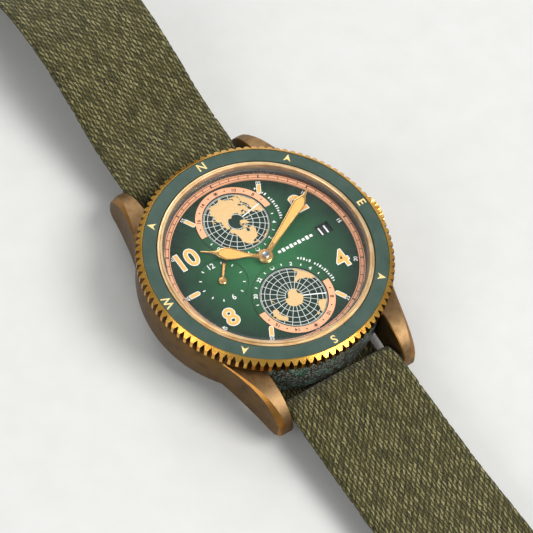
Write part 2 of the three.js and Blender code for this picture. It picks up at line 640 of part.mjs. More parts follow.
// ---------------------------------------------------------------- movement
const level = (n) => TRAIN_Z + (TRAIN_SPACE * n) / TRAIN_LEVELS;
const THIRD = polar(CENTRE_WHEEL_R + THIRD_PINION_R + TRAIN_GAP, THIRD_ANGLE);
const FOURTH = polar(THIRD_WHEEL_R + FOURTH_PINION_R + TRAIN_GAP, FOURTH_ANGLE, ...THIRD);
const ESCAPE = polar(FOURTH_WHEEL_R + ESCAPE_PINION_R + TRAIN_GAP, ESCAPE_ANGLE, ...FOURTH);
const FORK = polar(FORK_TO_ESCAPE, FORK_ANGLE, ...ESCAPE);
const BALANCE = polar(FORK_TO_BALANCE, BALANCE_ANGLE, ...FORK);
const BARREL = polar(BARREL_R + CENTRE_PINION_R + TRAIN_GAP, BARREL_ANGLE);
const PIVOTS = [BARREL, THIRD, FOURTH, ESCAPE, FORK, BALANCE];

/** An arbor between plate and bridge, with a pivot in a bearing at each end. */
function arbor(r = ARBOR_R) {
  const low = TRAIN_Z + SLIP / 2;
  const high = PLATE_Z - SLIP / 2;
  const pivot = BRIDGE_THICK / 2;
  return turned(
    [
      [0, low - pivot], [PIVOT_R, low - pivot], [PIVOT_R, low], [r, low],
      [r, high], [PIVOT_R, high], [PIVOT_R, high + pivot], [0, high + pivot],
    ],
    PIVOT_FACETS,
  );
}

/** A wheel and its pinion on one arbor. Levels count up from the bridge. */
function wheel(name, [x, y], wheelR, wheelLevel, pinionR, pinionFrom, pinionTo, teeth) {
  const disc = prism(toothed(wheelR, wheelR - TOOTH, teeth), level(wheelLevel), level(wheelLevel + 1));
  const pinion = rod(pinionR, level(pinionFrom), level(pinionTo), PIVOT_FACETS);
  return piece(name, join(arbor(), disc, pinion), BRASS(), x, y, 0);
}

/** The small dial's wheel, whose arbor rises through the dial to the hand. */
function zoneWheel() {
  const low = TRAIN_Z + SLIP / 2;
  const pivot = low - BRIDGE_THICK / 2;
  const post = CENTRE_R - SEAT;
  const top = ZONE_HAND_Z + HAND_THICK;
  const profile = [[0, pivot], [PIVOT_R, pivot], [PIVOT_R, low], [post, low], [post, top], [0, top]];
  const disc = prism(toothed(ZONE_WHEEL_R, ZONE_WHEEL_R - TOOTH, 28), level(2), level(3));
  return piece("second_zone_wheel", join(turned(profile, PIVOT_FACETS), disc), BRASS(), ...SUBDIALS.zone, 0);
}

function centreWheel() {
  const pivotZ = TRAIN_Z - BRIDGE_THICK / 2;
  const shaft = rod(CENTRE_R, pivotZ, HUB_TOP);
  const disc = prism(toothed(CENTRE_WHEEL_R, CENTRE_WHEEL_R - TOOTH, 30), level(1), level(2));
  const pinion = rod(CENTRE_PINION_R, level(3), level(9));
  return piece("centre_wheel", join(shaft, disc, pinion), BRASS());
}

function mainplate() {
  const disc = rod(MOVEMENT_R, PLATE_Z, PLATE_Z + PLATE_THICK, RING_FACETS);
  const deep = [PLATE_Z - 1, PLATE_Z + PLATE_THICK + 1];
  const pivots = PIVOTS.map(([x, y]) => rod(PIVOT_R + SLIP, ...deep, PIVOT_FACETS).translate(x, y, 0));
  const dialArbors = Object.values(SUBDIALS).map(([x, y]) =>
    rod(CENTRE_R + SLIP, ...deep, PIN_FACETS).translate(x, y, 0),
  );
  const centre = rod(CANNON_OUT + SLIP, ...deep);
  return piece("mainplate", cut(disc, ...pivots, ...dialArbors, centre), BRASS());
}

/** The bridge over barrel and train: an arc-edged plate on four pillars. */
function trainBridge() {
  const r = MOVEMENT_R - 0.8;
  const plate = outline([
    ...arc(0, 0, r, 35, 290, 24),
    [2.5, -7.5],
    [3.0, -0.6],
    [FORK[0] + 1.4, FORK[1] - 1.2],
  ]);
  const pivots = [BARREL, THIRD, FOURTH, ESCAPE, FORK, SUBDIALS.zone];
  const bearings = pivots.map(([x, y]) => rod(PIVOT_R + SLIP, 0, PLATE_Z, PIVOT_FACETS).translate(x, y, 0));
  const centre = rod(CENTRE_R + SLIP, 0, PLATE_Z);
  const pillars = [45, 100, 165, 280].map((angle) => {
    const [x, y] = polar(r - 1.4, angle);
    return rod(PILLAR_R, BRIDGE_Z + SEAT, PLATE_Z - SEAT, PIVOT_FACETS).translate(x, y, 0);
  });
  const body = join(prism(plate, BRIDGE_Z, TRAIN_Z), ...pillars);
  return piece("train_bridge", cut(body, centre, ...bearings), STEEL());
}

/** The cock that carries the balance: an arm from a foot near the movement's edge. */
function balanceCock() {
  const [x, y] = BALANCE;
  const foot = polar(MOVEMENT_R - 2.4, -42);
  const along = Math.atan2(y - foot[1], x - foot[0]);
  const length = Math.hypot(y - foot[1], x - foot[0]);
  const shape = outline([[0, -1.5], [length, -1.0], [length + 0.9, 0], [length, 1.0], [0, 1.5]]);
  const arm = prism(shape, BRIDGE_Z, TRAIN_Z)
    .rotateZ(along)
    .translate(foot[0], foot[1], 0);
  const pillar = rod(COCK_FOOT_R, BRIDGE_Z, PLATE_Z - SEAT, PIN_FACETS).translate(foot[0], foot[1], 0);
  const bearing = rod(PIVOT_R + SLIP, 0, PLATE_Z, PIVOT_FACETS).translate(x, y, 0);
  return piece("balance_cock", cut(join(arm, pillar), bearing), STEEL());
}

function balanceWheel() {
  const low = level(2);
  const high = level(3.5);
  const rim = ring(BALANCE_R - BALANCE_RIM, BALANCE_R, low, high, PART_FACETS);
  const spoke = box(-BALANCE_R + 0.2, BALANCE_R - 0.2, -0.3, 0.3, low + 0.1, high - 0.1);
  const roller = rod(0.55, level(4.5), level(5.5), PIVOT_FACETS);
  return piece("balance_wheel", join(arbor(), rim, spoke, roller), BRASS(), ...BALANCE, 0);
}

/** The hairspring: a flat spiral ribbon round the balance staff, open at both ends. */
function hairspring() {
  const turns = 2.5;
  const steps = 32;
  const thick = 0.14;
  const inner = [];
  const outer = [];
  for (let i = 0; i <= steps; i += 1) {
    const angle = (360 * turns * i) / steps;
    const r = 0.7 + (1.8 * i) / steps;
    inner.push(polar(r, angle));
    outer.push(polar(r + thick, angle));
  }
  const ribbon = prism(outline([...outer, ...inner.reverse()]), level(0.6), level(1.4));
  return piece("hairspring", ribbon, STEEL(), ...BALANCE, 0);
}

function palletFork() {
  const towards = Math.atan2(BALANCE[1] - FORK[1], BALANCE[0] - FORK[0]);
  const tip = FORK_TO_BALANCE - 1.0;
  const lever = prism(
    outline([
      [-0.6, -0.25], [tip - 0.6, -0.2], [tip, -0.55], [tip - 0.15, 0],
      [tip, 0.55], [tip - 0.6, 0.2], [-0.6, 0.25],
    ]),
    level(5), level(6),
  );
  const anchor = prism(outline([[-0.3, -1.1], [0.3, -1.0], [0.3, 1.0], [-0.3, 1.1]]), level(5), level(6));
  const geometry = join(join(lever, anchor).rotateZ(towards), arbor(0.24));
  return piece("pallet_fork", geometry, STEEL(), ...FORK, 0);
}

function barrel() {
  const drum = prism(toothed(BARREL_R, BARREL_R - 0.25, 36), level(4), level(9));
  return piece("barrel", join(arbor(0.6), drum), BRASS(), ...BARREL, 0);
}

/** The winding rotor: a half disc with a heavy rim, which turns on its bearing. */
function rotor() {
  const r = CAVITY_R - SLIP - 0.7 - ROTOR_GAP;
  const rimIn = r - ROTOR_RIM_WIDTH;
  const plan = outline([...arc(0, 0, r, 180, 360, 16), ...arc(0, 0, ROTOR_HUB_R, 0, 180, 8)]);
  const web = prism(plan, ROTOR_Z, ROTOR_Z + ROTOR_WEB);
  const rim = prism(
    outline([...arc(0, 0, r, 182, 358, 16), ...arc(0, 0, rimIn, 358, 182, 16)]),
    ROTOR_Z - ROTOR_WEB / 2, ROTOR_Z + ROTOR_THICK,
  );
  const hole = rod(ROTOR_AXLE_R + SLIP, 0, PLATE_Z, PIN_FACETS);
  return piece("rotor", cut(join(web, rim), hole), BRIGHT_BRONZE());
}

const rotorBearing = () =>
  piece(
    "rotor_bearing",
    turned(
      [
        [0, ROTOR_Z - ROTOR_GAP], [ROTOR_CAP_R, ROTOR_Z - ROTOR_GAP],
        [ROTOR_CAP_R, ROTOR_Z - SLIP], [ROTOR_AXLE_R, ROTOR_Z - SLIP],
        [ROTOR_AXLE_R, ROTOR_Z + ROTOR_WEB + SLIP], [ROTOR_FOOT_R, ROTOR_Z + ROTOR_WEB + SLIP],
        [ROTOR_FOOT_R, BRIDGE_Z - SEAT], [0, BRIDGE_Z - SEAT],
      ],
      PIN_FACETS,
    ),
    STEEL(),
  );

function casingRing() {
  const body = ring(CASING_IN, CASING_OUT, BRIDGE_Z - 0.4, DIAL_Z - SEAT);
  const stemHole = rodX(STEM_R + 0.3, CASING_IN - 1, CASING_OUT + 1, 0, CROWN_Z);
  return piece("casing_ring", cut(body, stemHole), BRASS());
}

// ---------------------------------------------------------------- strap and buckle
/** A band's side view: its middle line of [y, z] points, thickened to both sides. */
function bandOutline(middle, thick) {
  const offset = (side) =>
    middle.map(([y, z], i) => {
      const [y0, z0] = middle[Math.max(i - 1, 0)];
      const [y1, z1] = middle[Math.min(i + 1, middle.length - 1)];
      const length = Math.hypot(y1 - y0, z1 - z0);
      return [y - (side * thick * (z1 - z0)) / 2 / length, z + (side * thick * (y1 - y0)) / 2 / length];
    });
  return outline([...offset(1), ...offset(-1).reverse()]);
}

/** Points of a smooth curve through hand-set places on a band's middle line. */
const smooth = (places, steps) => {
  const curve = new THREE.SplineCurve(places.map(([y, z]) => new THREE.Vector2(y, z)));
  return curve.getPoints(steps).map((p) => [p.x, p.y]);
};

const LOOP_SPLIT = 118; // where the band under the case hands over to the free ends, round the bar
const LOOP_START = 104;
const HALF = STRAP_WIDTH / 2;

function strapCentre() {
  const rise = BAR_Y - LOOP_R;
  const side = [
    ...arc(rise - BEND_R, STRAP_THICK / 2 + BEND_R, BEND_R, 270, 360, 6),
    ...arc(BAR_Y, BAR_Z, LOOP_R, 180, LOOP_SPLIT, 4),
  ];
  const mirrored = side.map(([y, z]) => [-y, z]).reverse();
  const band = prismX(bandOutline([...mirrored, ...side], STRAP_THICK), -HALF, HALF);
  return piece("strap_centre", band, OLIVE());
}

/** The loop start of a free end, round its spring bar, then the rest of its middle line. */
const freeEnd = (places, steps) => {
  const top = [BAR_Y, BAR_Z + LOOP_R];
  return [...arc(BAR_Y, BAR_Z, LOOP_R, LOOP_START, 94, 2), ...smooth([top, ...places], steps)];
};

// The free end towards 6 o'clock lies down on the table; the one towards 12 o'clock arches up first.
const past = ([out, z]) => [BAR_Y + out, z];
const TAIL_PLACES = [
  [2.3, 5.85], [13.3, 5.1], [24.3, 4.6], [36.3, 4.9], [48.3, 4.1], [61.3, 1.9], [73.3, 0.75],
  [83.3, STRAP_THICK / 2],
].map(past);
const TAIL_END = BAR_Y + 109.3;
const TAIL_ROUND = 7; // the length of its rounded end
const BUCKLE_PLACES = [
  [2.3, 6.2], [11.3, 7.35], [21.3, 10.3], [30.3, 12.0], [40.3, 11.8], [48.3, 8.9], [55.3, 5.0],
  [60.8, 2.5],
].map(past);
const FLAT_START = BAR_Y + 64.3;

function strapTail() {
  const middle = [...freeEnd(TAIL_PLACES, 22), [TAIL_END, STRAP_THICK / 2]];
  const band = prismX(bandOutline(middle, STRAP_THICK), -HALF, HALF);
  const shoulder = TAIL_END - TAIL_ROUND;
  const nose = arc(0, shoulder, TAIL_ROUND - SLIP, 30, 150, 6);
  const plan = prism(
    outline([[-HALF, 0], [HALF, 0], [HALF, shoulder], ...nose, [-HALF, shoulder]]),
    -1, DIAL_TOP,
  );
  const holes = Array.from({ length: HOLE_COUNT }, (_, i) =>
    rod(HOLE_R, -1, DIAL_TOP, PIVOT_FACETS).translate(0, TAIL_END - FIRST_HOLE - i * HOLE_PITCH, 0),
  );
  return piece("strap_tail", cut(common(band, plan), ...holes).rotateZ(Math.PI), OLIVE());
}

function strapBuckleEnd() {
  const middle = [...freeEnd([...BUCKLE_PLACES, [FLAT_START, BUCKLE_Z]], 22), [BUCKLE_Y - 1, BUCKLE_Z]];
  const band = prismX(bandOutline(middle, STRAP_THICK), -HALF, HALF);
  const [foldLow, foldHigh] = [BUCKLE_Z - STRAP_THICK, BUCKLE_Z + STRAP_THICK];
  const fold = box(-HALF, HALF, BUCKLE_Y - FOLD_LENGTH, BUCKLE_Y - 1, foldLow, foldHigh);
  const eye = rodX(EYE_R, -HALF, HALF, BUCKLE_Y, BUCKLE_Z);
  const bore = rodX(BUCKLE_BAR_R + SLIP, -HALF - 1, HALF + 1, BUCKLE_Y, BUCKLE_Z);
  const slot = TONGUE_WIDTH / 2 + 4 * SLIP;
  const tongueSlot = box(-slot, slot, BUCKLE_Y - 4.4, BUCKLE_Y + 4, -1, BUCKLE_Z + 4);
  return piece("strap_buckle_end", cut(join(band, fold, eye), bore, tongueSlot), OLIVE());
}

function buckleFrame() {
  const inner = HALF + BUCKLE_SIDE_GAP;
  const outer = inner + BUCKLE_FRAME_WIDTH;
  const back = BUCKLE_Y - BUCKLE_BAR_R - BUCKLE_HEEL;
  const front = back + BUCKLE_FRAME_LENGTH;
  const corner = BUCKLE_CORNER;
  const shape = outline([
    [-outer, back], [-inner, back], [-inner, front - BUCKLE_RAIL],
    [inner, front - BUCKLE_RAIL], [inner, back], [outer, back],
    ...arc(outer - corner, front - corner, corner, 0, 90, 3),
    ...arc(-outer + corner, front - corner, corner, 90, 180, 3),
  ]);
  const half = BUCKLE_FRAME_THICK / 2;
  const bore = rodX(BUCKLE_BAR_R + SEAT, -outer - 1, outer + 1, BUCKLE_Y, BUCKLE_Z);
  return {
    frame: piece("buckle_frame", cut(prism(shape, BUCKLE_Z - half, BUCKLE_Z + half), bore), BRIGHT_BRONZE()),
    bar: piece("buckle_bar", rodX(BUCKLE_BAR_R, -outer + 0.4, outer - 0.4, BUCKLE_Y, BUCKLE_Z), STEEL()),
    tongue: buckleTongue(front, half),
  };
}

/** The tongue: a ring round the bar and an arm that rests on the frame's rail. */
function buckleTongue(front, half) {
  const restZ = BUCKLE_Z + half + SLIP;
  const ringR = BUCKLE_BAR_R + SLIP + TONGUE_WALL;
  const side = outline([
    [BUCKLE_Y, BUCKLE_Z + 0.4],
    [front - BUCKLE_RAIL - 1.5, restZ - 0.35],
    [front - BUCKLE_RAIL - 0.4, restZ],
    [front + TONGUE_REACH, restZ],
    [front + TONGUE_REACH, restZ + TONGUE_THICK * 0.6],
    [front - BUCKLE_RAIL - 1.5, restZ + TONGUE_THICK * 0.7],
    [BUCKLE_Y, BUCKLE_Z + 0.4 + TONGUE_THICK],
  ]);
  const width = TONGUE_WIDTH / 2;
  const body = join(prismX(side, -width, width), rodX(ringR, -width, width, BUCKLE_Y, BUCKLE_Z));
  const bore = rodX(BUCKLE_BAR_R + SLIP, -width - 1, width + 1, BUCKLE_Y, BUCKLE_Z);
  return piece("buckle_tongue", cut(body, bore), BRIGHT_BRONZE());
}

/** A keeper: a flat loop round the band with room above it for the tail. */
function keeper(name, y, material) {
  const inner = HALF + 2 * SLIP;
  const low = BUCKLE_Z - STRAP_THICK - SLIP;
  const high = BUCKLE_Z + 2 * STRAP_THICK + 3 * SLIP;
  const outer = inner + KEEPER_WALL;
  const outerBox = box(-outer, outer, y, y + KEEPER_WIDTH, low - KEEPER_WALL, high + KEEPER_WALL);
  const opening = box(-inner, inner, y - 1, y + KEEPER_WIDTH + 1, low, high);
  return piece(name, cut(outerBox, opening), material);
}

// ---------------------------------------------------------------- assembly
const watch = new THREE.Group();
const add = (...meshes) => {
  const body = new THREE.Group();
  body.add(...meshes);
  watch.add(body);
};
const crownSet = crownParts();
const hands = handParts();
const buckle = buckleFrame();

add(caseMiddle(), caseBack(), ...crystalParts(), ...bezelSeals(), crownSet.tube);
add(caseBackGasket());
add(springBar("spring_bar_12", 1), springBar("spring_bar_6", -1), strapCentre());
add(dial(), minuteTrack());
add(hourRing("north_hour_ring", SUBDIALS.north), hourRing("south_hour_ring", SUBDIALS.south));
add(casingRing(), mainplate(), trainBridge(), balanceCock(), hairspring(), rotorBearing());
add(bezelRing(), bezelInsert());
add(crownSet.seal, crownSet.crown, crownSet.stem);
add(hands.minuteHand, hands.cannonPinion, centreWheel());
add(hands.hourHand, hands.hourWheel);
add(globe("north_globe", SUBDIALS.north), globe("south_globe", SUBDIALS.south));
add(hands.zoneHand, zoneWheel(), dateDisc());
add(barrel(), palletFork(), balanceWheel(), rotor());
add(
  wheel("third_wheel", THIRD, THIRD_WHEEL_R, 6, THIRD_PINION_R, 0.5, 3, 28),
  wheel("fourth_wheel", FOURTH, FOURTH_WHEEL_R, 3, FOURTH_PINION_R, 5, 8, 26),
  wheel("escape_wheel", ESCAPE, ESCAPE_WHEEL_R, 5, ESCAPE_PINION_R, 2, 4.4, 15),
);
add(strapTail(), strapBuckleEnd(), buckle.frame, buckle.bar, buckle.tongue);
add(keeper("fixed_keeper", FIXED_KEEPER_Y, OLIVE()), keeper("sliding_keeper", SLIDING_KEEPER_Y, OLIVE()));

export default watch;
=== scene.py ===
"""The fine shapes and finishes of an automatic travel watch with a turning compass bezel and a woven strap.

Pieces are made in millimetres and brought to metres when they are settled on their bodies. +Z is up, +X
points to 3 o'clock and +Y to 12 o'clock, and the bezel turns about the Z axis. Clock angles run clockwise
from 12.
"""

import logging
import math
from dataclasses import dataclass
from enum import Enum
from typing import Callable, Sequence

import bpy
import numpy as np
from mathutils import Matrix, Vector


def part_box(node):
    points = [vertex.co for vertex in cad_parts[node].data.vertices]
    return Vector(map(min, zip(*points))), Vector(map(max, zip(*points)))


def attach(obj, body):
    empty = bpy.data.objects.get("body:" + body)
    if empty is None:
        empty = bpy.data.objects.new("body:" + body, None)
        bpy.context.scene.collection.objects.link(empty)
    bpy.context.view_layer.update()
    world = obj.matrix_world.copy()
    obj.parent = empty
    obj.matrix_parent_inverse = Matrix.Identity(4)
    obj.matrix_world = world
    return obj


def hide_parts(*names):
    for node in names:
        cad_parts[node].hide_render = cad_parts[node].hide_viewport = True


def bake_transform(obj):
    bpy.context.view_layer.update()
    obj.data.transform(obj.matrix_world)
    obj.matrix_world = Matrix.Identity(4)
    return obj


logging.basicConfig(level=logging.INFO, format="%(message)s")
log = logging.getLogger("watch")

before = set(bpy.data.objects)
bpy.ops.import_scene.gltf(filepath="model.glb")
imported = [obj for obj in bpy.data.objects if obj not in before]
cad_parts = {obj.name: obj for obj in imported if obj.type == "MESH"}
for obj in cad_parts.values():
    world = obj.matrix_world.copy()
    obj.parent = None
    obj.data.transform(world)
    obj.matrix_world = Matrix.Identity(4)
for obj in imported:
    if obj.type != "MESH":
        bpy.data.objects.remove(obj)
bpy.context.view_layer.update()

MM = 0.001
Point = tuple[float, float]
Outline = Sequence[Point]
Colour = tuple[float, float, float, float]
Screen = tuple[int, int, int]
Finish = bpy.types.Material
Piece = bpy.types.Object
Socket = bpy.types.NodeSocket
Value = Socket | float | tuple[float, ...]
Setting = str | int | float | bool


# ---------------------------------------------------------------- places
def paint(red: int, green: int, blue: int) -> Colour:
    """A screen colour, 0 to 255 a channel, as the linear colour a shader takes."""
    channels = [value / 255 for value in (red, green, blue)]
    linear = [c / 12.92 if c <= 0.04045 else ((c + 0.055) / 1.055) ** 2.4 for c in channels]
    return (linear[0], linear[1], linear[2], 1.0)


def darker(colour: Colour, share: float) -> Colour:
    """A colour with its channels multiplied by a share."""
    return (colour[0] * share, colour[1] * share, colour[2] * share, 1.0)


@dataclass(frozen=True)
class Extent:
    """The box of a CAD node in millimetres."""

    low: Vector
    high: Vector

    @classmethod
    def of(cls, node: str) -> "Extent":
        """The extent of the CAD node with that name."""
        low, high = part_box(node)
        return cls(low / MM, high / MM)

    @property
    def middle(self) -> Vector:
        """The centre of the box."""
        return (self.low + self.high) / 2

    @property
    def size(self) -> Vector:
        """The box's width, length and height."""
        return self.high - self.low


def clock(radius: float, degrees: float, centre: Point = (0.0, 0.0)) -> Point:
    """The point at a radius and a clock angle from a centre."""
    angle = math.radians(degrees)
    return (centre[0] + radius * math.sin(angle), centre[1] + radius * math.cos(angle))


def circle(radius: float, centre: Point = (0.0, 0.0), points: int = 96) -> list[Point]:
    """A round outline."""
    return [clock(radius, 360 * i / points, centre) for i in range(points)]


def sector(inner: float, outer: float, start: float, end: float, centre: Point = (0.0, 0.0)) -> list[Point]:
    """The outline of a part of a ring between two clock angles."""
    steps = max(2, int((end - start) / 3))
    angles = [start + (end - start) * i / steps for i in range(steps + 1)]
    return [clock(outer, a, centre) for a in angles] + [clock(inner, a, centre) for a in reversed(angles)]


def turned_outline(outline: Outline, degrees: float, centre: Point = (0.0, 0.0)) -> list[Point]:
    """An outline that points to 12 o'clock at a centre, turned to a clock angle.

    Args:
        outline: Points whose +Y runs outwards.
        degrees: The clock angle to turn to.
        centre: The point that the outline's origin goes to.

    Returns:
        The turned outline.
    """
    angle = math.radians(degrees)
    cos, sin = math.cos(angle), math.sin(angle)
    return [(centre[0] + x * cos + y * sin, centre[1] - x * sin + y * cos) for x, y in outline]


def bar(inner: float, outer: float, width: float, degrees: float, centre: Point = (0.0, 0.0)) -> list[Point]:
    """A straight stroke along a radius at a clock angle."""
    half = width / 2
    return turned_outline([(-half, inner), (half, inner), (half, outer), (-half, outer)], degrees, centre)


def blade(stations: Outline) -> list[Point]:
    """The outline of a hand from (distance, half width) stations along it."""
    return [(w, d) for d, w in stations] + [(-w, d) for d, w in reversed(stations)]


# ---------------------------------------------------------------- workshop
def deselect() -> None:
    """Leaves object mode with nothing selected."""
    if bpy.context.object is not None and bpy.context.object.mode != "OBJECT":
        bpy.ops.object.mode_set(mode="OBJECT")
    bpy.ops.object.select_all(action="DESELECT")


def hold(piece: Piece) -> Piece:
    """Makes a piece the only selected one."""
    deselect()
    piece.select_set(True)
    bpy.context.view_layer.objects.active = piece
    return piece


def edit(piece: Piece) -> None:
    """Opens a piece in edit mode with everything selected."""
    hold(piece)
    bpy.ops.object.mode_set(mode="EDIT")
    bpy.ops.mesh.select_mode(type="VERT")
    bpy.ops.mesh.select_all(action="SELECT")


def clean(piece: Piece, doubles: float = 1e-4) -> Piece:
    """Merges doubled points and points every face outwards."""
    edit(piece)
    bpy.ops.mesh.remove_doubles(threshold=doubles)
    bpy.ops.mesh.normals_make_consistent(inside=False)
    bpy.ops.object.mode_set(mode="OBJECT")
    return piece


class Ends(Enum):
    """How a turned profile closes."""

    RING = "ring"
    CAPS = "caps"


def turned(profile: Outline, ends: Ends = Ends.RING, facets: int = 240) -> Piece:
    """Turns a (radius, height) profile about the Z axis.

    Args:
        profile: The points from one end to the other.
        ends: Whether the ends meet round a hole or are capped.
        facets: The number of sides.

    Returns:
        The closed body.
    """
    deselect()
    radius, height = profile[0]
    bpy.ops.mesh.primitive_circle_add(vertices=facets, radius=radius, location=(0, 0, height))
    piece = bpy.context.active_object
    bpy.ops.object.transform_apply(location=True, rotation=True, scale=True)
    edit(piece)
    for (r0, z0), (r1, z1) in zip(profile, profile[1:]):
        bpy.ops.mesh.extrude_edges_move(TRANSFORM_OT_translate={"value": (0, 0, z1 - z0)})
        bpy.ops.transform.resize(value=(r1 / r0, r1 / r0, 1), center_override=(0, 0, 0))
    bpy.ops.mesh.select_all(action="DESELECT")
    bpy.ops.mesh.select_non_manifold()
    if ends is Ends.RING:
        bpy.ops.mesh.bridge_edge_loops()
    else:
        bpy.ops.mesh.edge_face_add()
    bpy.ops.object.mode_set(mode="OBJECT")
    return clean(piece)


def plate(outlines: Sequence[Outline], low: float, high: float, bevel: float = 0.0) -> Piece:
    """A flat plate of one or more outlines; an outline inside another is a hole.

    Args:
        outlines: Closed outlines in X and Y.
        low: The height of the under side.
        high: The height of the upper side.
        bevel: The radius of its rounded edges.

    Returns:
        The closed plate.
    """
    deselect()
    curve = bpy.data.curves.new("plate", "CURVE")
    curve.dimensions = "2D"
    curve.fill_mode = "BOTH"
    for outline in outlines:
        spline = curve.splines.new("POLY")
        spline.points.add(len(outline) - 1)
        for point, (x, y) in zip(spline.points, outline):
            point.co = (x, y, 0, 1)
        spline.use_cyclic_u = True
    curve.extrude = (high - low) / 2 - bevel
    curve.bevel_depth = bevel
    curve.bevel_resolution = 2
    curve.offset = -bevel
    piece = bpy.data.objects.new("plate", curve)
    bpy.context.collection.objects.link(piece)
    hold(piece)
    bpy.ops.object.convert(target="MESH")
    piece = bpy.context.active_object
    piece.data.transform(Matrix.Translation((0, 0, (low + high) / 2)))
    return clean(piece)


def lettering(
    word: str, height: float, place: Point, low: float, high: float, turn: float = 0.0, bold: float = 0.0
) -> Piece:
    """A word cut from thin sheet, centred on a place.

    Args:
        word: The letters or digits.
        height: The height of the letters.
        place: Where their centre goes.
        low: The height of the under side.
        high: The height of the upper side.
        turn: The clock angle that the letters' tops point to.
        bold: How far each stroke is widened.

    Returns:
        The closed letters.
    """
    deselect()
    bpy.ops.object.text_add()
    piece = bpy.context.active_object
    piece.data.body = word
    piece.data.resolution_u = 4
    piece.data.fill_mode = "BOTH"
    bpy.context.view_layer.update()
    scale = height / piece.dimensions.y
    piece.data.offset = bold / scale
    bpy.ops.object.convert(target="MESH")
    piece = bpy.context.active_object
    points = np.array([v.co for v in piece.data.vertices])
    middle = (points.min(0) + points.max(0)) / 2
    piece.data.transform(Matrix.Translation((-middle[0], -middle[1], 0)))
    piece.data.transform(Matrix.Scale(scale, 4))
    edit(piece)
    bpy.ops.mesh.remove_doubles(threshold=1e-4)
    bpy.ops.mesh.extrude_region_move(TRANSFORM_OT_translate={"value": (0, 0, high - low)})
    bpy.ops.object.mode_set(mode="OBJECT")
    turning = Matrix.Rotation(-math.radians(turn), 4, "Z")
    piece.data.transform(Matrix.Translation((*place, low)) @ turning)
    return clean(piece)


def joined(pieces: Sequence[Piece]) -> Piece:
    """Several pieces made into one."""
    deselect()
    for piece in pieces:
        piece.select_set(True)
    bpy.context.view_layer.objects.active = pieces[0]
    bpy.ops.object.join()
    return bpy.context.active_object


class Cut(Enum):
    """What a tool does to a body."""

    AWAY = "DIFFERENCE"
    COMMON = "INTERSECT"


def worked(piece: Piece, tool: Piece, cut: Cut) -> Piece:
    """Cuts a body with a tool, which is used up."""
    hold(piece)
    step = piece.modifiers.new("cut", "BOOLEAN")
    step.object = tool
    step.operation = cut.value
    step.solver = "EXACT"
    bpy.ops.object.modifier_apply(modifier=step.name)
    bpy.data.objects.remove(tool)
    return piece


def rod(radius: float, depth: float, place: Vector, facets: int, lean: float = 0.0) -> Piece:
    """A round cutter centred on a place, which leans from +Z towards +X by an angle in radians."""
    deselect()
    bpy.ops.mesh.primitive_cylinder_add(
        vertices=facets, radius=radius, depth=depth, location=place, rotation=(0, lean, 0)
    )
    bpy.ops.object.transform_apply(location=True, rotation=True, scale=True)
    return bpy.context.active_object


def rows_surface(rows: Sequence[Sequence[Vector]], grid_uv: Sequence[Outline] | None = None) -> Piece:
    """A body laid on closed rows of points, with its two ends capped.

    Args:
        rows: Rows of equal length, which repeat their first point at their end.
        grid_uv: Each point's place on the UV map.

    Returns:
        The closed body.
    """
    deselect()
    across, along = len(rows[0]) - 1, len(rows) - 1
    bpy.ops.mesh.primitive_grid_add(x_subdivisions=across, y_subdivisions=along, calc_uvs=True)
    piece = bpy.context.active_object
    mesh = piece.data
    points = np.array([[tuple(p) for p in row] for row in rows], np.float32).reshape(-1)
    mesh.vertices.foreach_set("co", points)
    if grid_uv is not None:
        flat = np.array(grid_uv, np.float32).reshape(-1, 2)
        corners = np.zeros(len(mesh.loops), np.int32)
        mesh.loops.foreach_get("vertex_index", corners)
        mesh.uv_layers.active.data.foreach_set("uv", flat[corners].reshape(-1))
    mesh.update()
    clean(piece, 1e-5)
    edit(piece)
    bpy.ops.mesh.select_all(action="DESELECT")
    bpy.ops.mesh.select_non_manifold()
    bpy.ops.mesh.edge_face_add()
    bpy.ops.object.mode_set(mode="OBJECT")
    return clean(piece, 1e-5)


def settle(
    piece: Piece,
    name: str,
    finish: Finish,
    body: str,
    stands_for: Sequence[str] = (),
    smooth: float = 30.0,
) -> Piece:
    """Names a finished piece, brings it to metres, dresses it and hangs it on its body.

    Args:
        piece: The piece in millimetres.
        name: Its name.
        finish: Its material, unless it already has several.
        body: The CAD body it rides on, or nothing if it is bent between two.
        stands_for: The CAD nodes it replaces.
        smooth: Edges flatter than this angle are shaded smooth.

    Returns:
        The piece.
    """
    hold(piece)
    piece.name = name
    piece.data.name = name
    piece.data.transform(Matrix.Scale(MM, 4))
    bpy.ops.object.shade_smooth_by_angle(angle=math.radians(smooth))
    if len(piece.data.materials) < 2:
        piece.data.materials.clear()
        piece.data.materials.append(finish)
    if body:
        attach(piece, body)
    if stands_for:
        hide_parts(*stands_for)
    log.info("%s: %d faces", name, len(piece.data.polygons))
    return piece


